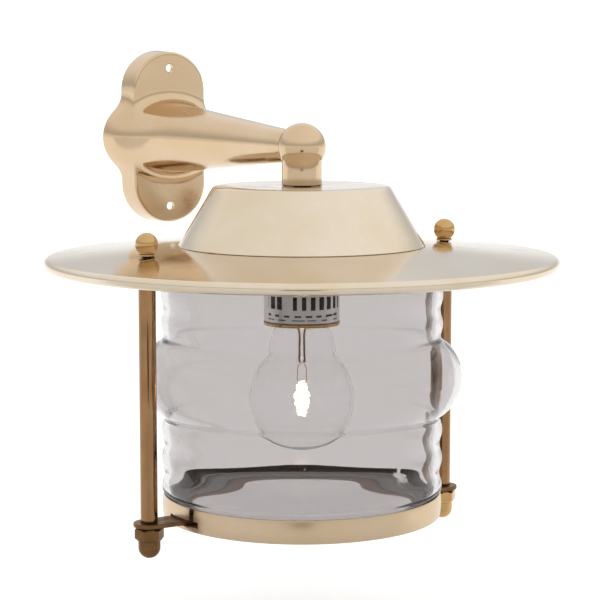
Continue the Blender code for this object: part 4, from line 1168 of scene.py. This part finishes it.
def bottom_ring(finishes):
    """Crowned band with an inner ledge. Each side has a slot for a tongue and an upright notch by it."""
    crown = 0.7 * MM
    centre_z, half = (RING_TOP_Z + RING_BASE_Z) / 2, (RING_TOP_Z - RING_BASE_Z) / 2
    outer = [(RING_R - crown, RING_TOP_Z, 0.5 * MM)]
    outer += [(RING_R - crown * (abs(a) / 60) ** 2.2, centre_z + half * a / 60) for a in range(55, -60, -10)]
    outer += [(RING_R - crown, RING_BASE_Z, 0.5 * MM)]
    inner = [(LEDGE_R, RING_BASE_Z, 0.3 * MM), (LEDGE_R, LEDGE_TOP_Z, 0.3 * MM), (RING_BORE_R, LEDGE_TOP_Z),
             (RING_BORE_R, RING_TOP_Z, 0.15 * MM)]
    ring = lathe("ring_band", outer + inner, None, 320, closed=True)
    tongue_top, tongue_base = top("tongue_right"), base("tongue_right")
    wall = 6 * MM
    slot_top, low = tongue_top + SLOT_ROOM, tongue_base - GAP / 2
    cuts = (((wall, 2 * (TONGUE_HALF + SLOT_SIDE_ROOM), slot_top - low), 0, (slot_top + low) / 2),
            ((wall, 12 * MM, slot_top - low), NOTCH_ANGLE, (slot_top + low) / 2),
            ((wall, NOTCH_WIDTH, RING_TOP_Z + MM - slot_top + MM), NOTCH_ANGLE, (RING_TOP_Z + slot_top) / 2))
    for sign in SIDES.values():
        facing = math.pi if sign < 0 else 0
        for extent, turn, height in cuts:
            cut(ring, slab("slot", extent, AXIS + Vector((RING_BORE_R + MM, 0, height)), facing + turn, AXIS))
        hole = [(0, RING_BASE_Z - MM), (RIVET_HOLE_R, RING_BASE_Z - MM), (RIVET_HOLE_R, LEDGE_TOP_Z + MM),
                (0, LEDGE_TOP_Z + MM)]
        cut(ring, lathe("hole", hole, None, 32, centre=AXIS + Vector((sign * RIVET_X, 0, 0))))
    soften(ring, 0.15 * MM)
    finish_piece(ring, finishes["ring_brass"], "cage", "polished_brass", "bottom_ring", sharp=30)


def tongue(side, sign, finishes):
    """Flat lug with softened edges, from the ring's ledge to the rod."""
    low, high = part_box(f"tongue_{side}")
    thick = high.z - low.z
    edge = 0.35 * MM
    inner_end = 73 * MM
    curve = bpy.data.curves.new("lug", "CURVE")
    curve.dimensions = "2D"
    curve.fill_mode = "BOTH"
    curve.extrude = thick / 2 - edge
    curve.bevel_depth = edge
    curve.bevel_resolution = 3
    curve.offset = -edge
    head = [(ROD_X + x, y) for x, y in arc((0, 0), TONGUE_HALF, -90, 90, 40)]
    outlines = [head + [(inner_end, TONGUE_HALF), (inner_end, -TONGUE_HALF)],
                [(ROD_X + x, y) for x, y in arc((0, 0), HOLE_R, 0, 352.5, 47)],
                [(RIVET_X + x, y) for x, y in arc((0, 0), RIVET_HOLE_R, 0, 345, 23)]]
    for outline in outlines:
        spline = curve.splines.new("POLY")
        spline.points.add(len(outline) - 1)
        spline.use_cyclic_u = True
        for point, (x, y) in zip(spline.points, outline):
            point.co = (x, y, 0, 1)
    guide = bpy.data.objects.new("lug", curve)
    bpy.context.scene.collection.objects.link(guide)
    mesh = bpy.data.meshes.new_from_object(guide.evaluated_get(bpy.context.evaluated_depsgraph_get()))
    bpy.data.objects.remove(guide)
    bm = bmesh.new()
    bm.from_mesh(mesh)
    bmesh.ops.remove_doubles(bm, verts=bm.verts, dist=1e-6)
    bmesh.ops.recalc_face_normals(bm, faces=bm.faces)
    spin = Matrix.Rotation(math.pi if sign < 0 else 0, 4, "Z")
    bm.transform(Matrix.Translation((0, AXIS.y, (low.z + high.z) / 2)) @ spin)
    bm.to_mesh(mesh)
    bm.free()
    piece = bpy.data.objects.new(f"lug_{side}", mesh)
    bpy.context.scene.collection.objects.link(piece)
    finish_piece(piece, finishes["stained_brass"], "cage", "warm_brass", f"tongue_{side}", sharp=30)


def rod(side, sign, finishes):
    node = f"rod_{side}"
    high, low = top(node), base(node)
    shoulder = cone_rise(ROD_X + ROD_R) - SHEET - GAP
    foot = top(f"tongue_{side}") + GAP
    pitch_step = 0.16 * MM
    profile = [(0, high), (THREAD_R - 0.5 * MM, high)]
    profile += column(THREAD_R, high - 0.4 * MM, shoulder + 0.8 * MM, pitch_step)
    profile += [(THREAD_R - 0.3 * MM, shoulder + 0.3 * MM), (THREAD_R - 0.3 * MM, shoulder, 0.1 * MM)]
    profile += [(ROD_R, shoulder, 0.5 * MM), (ROD_R, (shoulder + foot) / 2), (ROD_R, foot, 0.5 * MM)]
    profile += [(THREAD_R - 0.3 * MM, foot, 0.1 * MM), (THREAD_R - 0.3 * MM, foot - 0.3 * MM)]
    profile += column(THREAD_R, foot - 0.8 * MM, low + 0.4 * MM, pitch_step)
    profile += [(THREAD_R - 0.5 * MM, low), (0, low)]
    upper = helix(shoulder + 0.5 * MM, high + MM, THREAD_PITCH, THREAD_DEPTH)
    lower = helix(low - MM, foot - 0.5 * MM, THREAD_PITCH, THREAD_DEPTH)

    def threads(radius, height, angle):
        if radius > THREAD_R + 0.1 * MM or radius < THREAD_R - 0.1 * MM:
            return radius
        thread = upper if height > (shoulder + foot) / 2 else lower
        return thread(radius, height, angle)

    piece = lathe(f"rod_bar_{side}", profile, finishes["rod_brass"], 48, shape=threads, sharp=50,
                  centre=AXIS + Vector((sign * ROD_X, 0, 0)))
    place(piece, "cage", "warm_brass", node)


def washer(name, node, body, finish, centre, edge):
    """A thin disc on a rod, with its outer edges rounded by edge."""
    high, low = top(node), base(node)
    outer_r = size(node).x / 2
    profile = [(HOLE_R, high, 0.1 * MM), (outer_r, high, edge), (outer_r, low, edge), (HOLE_R, low, 0.1 * MM)]
    place(lathe(name, profile, finish, 96, closed=True, centre=centre), body, "warm_brass", node)


def ball_knob(side, sign, finishes):
    at = AXIS + Vector((sign * ROD_X, 0, 0))
    washer(f"knob_disc_{side}", f"knob_washer_{side}", f"{side}_knob_lift", finishes["warm_brass"],
           at, 0.3 * MM)
    node = f"ball_knob_{side}"
    high, low = top(node), base(node)
    ball_r = size(node).x / 2
    neck_r = 4.4 * MM
    centre_z = high - ball_r
    meet = -math.degrees(math.acos(neck_r / ball_r))
    profile = [(0, high)] + arc((0, centre_z), ball_r, 88, meet, 50)
    profile += [(neck_r, low + 0.15 * MM), (neck_r - 0.15 * MM, low), (HOLE_R + 0.3 * MM, low),
                (HOLE_R, low + 0.3 * MM), (HOLE_R, centre_z + 2 * MM), (0, centre_z + 2 * MM)]
    place(lathe(f"knob_ball_{side}", profile, finishes["warm_brass"], 96, centre=at),
          f"{side}_knob", "warm_brass", node)


# The two nuts are the same part, but the left one takes the much darker stained brass and the right one warm
# brass, so the left nut is simply darker
NUT_FINISH = {"left": "stained_brass", "right": "warm_brass"}
HEX_TURN = math.radians(42.4)      # a corner of the hexagon looks this far from the wall's direction


def acorn_nut(side, sign, finishes):
    at = AXIS + Vector((sign * ROD_X, 0, 0))
    washer(f"nut_disc_{side}", f"nut_washer_{side}", f"{side}_nut_drop", finishes[NUT_FINISH[side]],
           at, 0.25 * MM)
    node = f"acorn_nut_{side}"
    high, low = top(node), base(node)
    corner_r = 8.65 * MM
    hex_end = high - 6.7 * MM
    dome_r = 6.3 * MM
    chamfer = 0.7 * MM
    round_z = low + dome_r
    profile = [(HOLE_R, high - 0.4 * MM), (HOLE_R + 0.4 * MM, high), (corner_r - 1.3 * MM, high),
               (corner_r, high - chamfer), (corner_r, (high + hex_end) / 2), (corner_r, hex_end + 1.2 * MM),
               (corner_r - 1.6 * MM, hex_end), (dome_r + 0.5 * MM, hex_end), (dome_r, hex_end - 0.4 * MM)]
    profile += arc((0, round_z), dome_r, 0, -88, 26) + [(0, low)]
    bore = [(0, hex_end - 3.5 * MM), (HOLE_R, hex_end - 3.5 * MM)]
    flats = hexagon(corner_r * math.cos(math.pi / 6), HEX_TURN)
    piece = lathe(f"nut_dome_{side}", bore + profile, finishes[NUT_FINISH[side]], 180, centre=at, sharp=22,
                  shape=lambda r, z, a: flats(r, z, a) if z > hex_end - 0.1 * MM and r > HOLE_R + MM else r)
    place(piece, f"{side}_nut", "warm_brass", node)


def rivet(side, sign, finishes):
    node = f"rivet_{side}"
    high, low = top(node), base(node)
    head_r = size(node).x / 2
    shank_r = RIVET_HOLE_R - GAP
    head_base = top(f"tongue_{side}") + GAP
    dome = [(head_r * math.cos(math.radians(a)), head_base + (high - head_base) * math.sin(math.radians(a)))
            for a in range(88, -1, -8)]
    profile = [(0, high)] + dome
    profile += [(shank_r, head_base), (shank_r, low + 0.1 * MM), (shank_r - 0.2 * MM, low), (0, low)]
    piece = lathe(f"rivet_head_{side}", profile, finishes["aged_brass"], 64,
                  centre=AXIS + Vector((sign * RIVET_X, 0, 0)))
    place(piece, "cage", "warm_brass", node)


def gaskets(finishes):
    outer, inner = 83.5 * MM, 75.5 * MM
    low = base("rim_gasket")
    lip = 0.4 * MM
    slope = [(outer, cone_rise(outer) - SHEET - GAP, lip), (outer, low, lip), (inner, low, lip),
             (inner, cone_rise(inner) - SHEET - GAP, lip)]
    place(lathe("jar_rim_gasket", slope, finishes["black_rubber"], 256, closed=True),
          "head", "black_rubber", "rim_gasket")
    high, low = top("foot_gasket"), base("foot_gasket")
    outer, inner = size("foot_gasket").x / 2, 67 * MM
    foot = [(outer, high, lip), (outer, low, lip), (inner, low, lip), (inner, high, lip)]
    place(lathe("jar_foot_gasket", foot, finishes["silicone"], 256, closed=True), "cage", "clear_silicone",
          "foot_gasket")


# Studio

FLOOR_DROP = 60 * MM               # from the nuts down to the floor, with the cage up
TOWARDS_VIEWER = Vector((math.sin(VIEW_AZIMUTH), -math.cos(VIEW_AZIMUTH), 0))
SKY_EDGE = 1.03                    # brightness of the studio at the horizon, where it meets the floor
SKY_LOW = 0.68                     # a little above the horizon
SKY_HIGH = 1.09                    # overhead
SKY_LEAN = 0.07                    # how much brighter the right side is than the middle
# The floor's glow is painted light, strong behind the lantern and faint in front of it along the camera's
# direction
FLOOR_GLOW = 0.36                  # of the floor behind the lantern
FLOOR_FRONT_GLOW = 0.03            # of the floor in front of it
FLOOR_FADE = (-0.12, 0.08)         # metres behind the lantern's axis over which the glow grows
FLOOR_WHITE = 0.85
FLAG_AWAY = 0.62                   # metres from the lantern's axis to the dark flag in front of it
FLAG_HALF_WIDTH = 0.08
FLAG_THICKNESS = 0.01
FLAG_TOP_Z = -0.135
FLAG_BASE_Z = -0.24


def studio():
    """A pale floor under soft light from the sky: greyer just above the horizon and bright overhead. The
    floor's own glow is painted light: strong behind the lantern and faint in front of it, as seen from the
    camera.
    """
    world = bpy.data.worlds.new("studio")
    bpy.context.scene.world = world
    world.use_nodes = True
    tree = world.node_tree
    direction = add(tree, "ShaderNodeTexCoord").outputs["Generated"]
    height = add(tree, "ShaderNodeSeparateXYZ", Vector=direction).outputs["Z"]
    low = ramp(tree, height, 0.05, 0.14, SKY_EDGE, SKY_LOW)
    raised = ramp(tree, height, 0.15, 0.5, 0.0, SKY_HIGH - SKY_LOW)
    aside = (math.cos(VIEW_AZIMUTH), math.sin(VIEW_AZIMUTH), 0)
    lean = dot(tree, direction, aside)
    lean = math_node(tree, "MULTIPLY", lean, ramp(tree, height, 0.1, 0.5, 0.0, SKY_LEAN))
    strength = math_node(tree, "ADD", math_node(tree, "ADD", low, raised), lean)
    tree.links.new(strength, tree.nodes["Background"].inputs["Strength"])
    tree.nodes["Background"].inputs["Color"].default_value = (1, 1, 1, 1)
    bm = bmesh.new()
    bmesh.ops.create_grid(bm, x_segments=1, y_segments=1, size=40)
    mesh = bpy.data.meshes.new("floor")
    bm.to_mesh(mesh)
    bm.free()
    floor = bpy.data.objects.new("floor", mesh)
    bpy.context.scene.collection.objects.link(floor)
    floor.location = (0, 0, base("acorn_nut_right") - FLOOR_DROP)
    material, tree = new_tree("floor_look")
    white = (FLOOR_WHITE, FLOOR_WHITE, FLOOR_WHITE, 1)
    # Painted light: the floor glows faintly in front of and under the lantern and strongly behind it, as seen
    # from the camera
    away = dot(tree, object_coordinates(tree), tuple(-TOWARDS_VIEWER))
    start, end = (-AXIS.dot(TOWARDS_VIEWER) + fade for fade in FLOOR_FADE)
    glow = ramp(tree, away, start, end, FLOOR_FRONT_GLOW, FLOOR_GLOW)
    shader = add(tree, "ShaderNodeBsdfPrincipled", Base_Color=white, Roughness=0.8,
                 Emission_Color=(1, 1, 1, 1), Emission_Strength=glow)
    shader.inputs["Specular IOR Level"].default_value = 0.0
    finish_material(tree, shader)
    mesh.materials.append(material)
    dark_flag()


def dark_flag():
    """Narrow black card that only mirrors see: it gives upright polished metal its dark line."""
    bpy.ops.mesh.primitive_cube_add(size=1)
    flag = bpy.context.object
    flag.name = "dark_flag"
    flag.scale = (2 * FLAG_HALF_WIDTH, FLAG_THICKNESS, FLAG_TOP_Z - FLAG_BASE_Z)
    flag.rotation_euler.z = VIEW_AZIMUTH
    flag.location = AXIS + TOWARDS_VIEWER * FLAG_AWAY + Vector((0, 0, (FLAG_TOP_Z + FLAG_BASE_Z) / 2))
    flag.visible_camera = flag.visible_diffuse = flag.visible_transmission = flag.visible_shadow = False
    black = dull("flag_look", (0.012, 0.009, 0.009), (0.02, 0.016, 0.016), 0.9, 60.0, 0.1 * MM)
    flag.data.materials.append(black)


def main():
    make_camera()
    studio()
    bpy.context.scene.view_settings.view_transform = "Standard"
    finishes = make_finishes()
    wall_bracket(finishes)
    ball_elbow(finishes)
    nipples(finishes)
    cap(finishes)
    brim(finishes)
    cap_fixings(finishes)
    lampholder(finishes)
    bulb(finishes)
    inner_lead(finishes)
    glass_jar(finishes)
    bottom_ring(finishes)
    gaskets(finishes)
    for side, sign in SIDES.items():
        tongue(side, sign, finishes)
        rivet(side, sign, finishes)
        rod(side, sign, finishes)
        ball_knob(side, sign, finishes)
        acorn_nut(side, sign, finishes)


main()
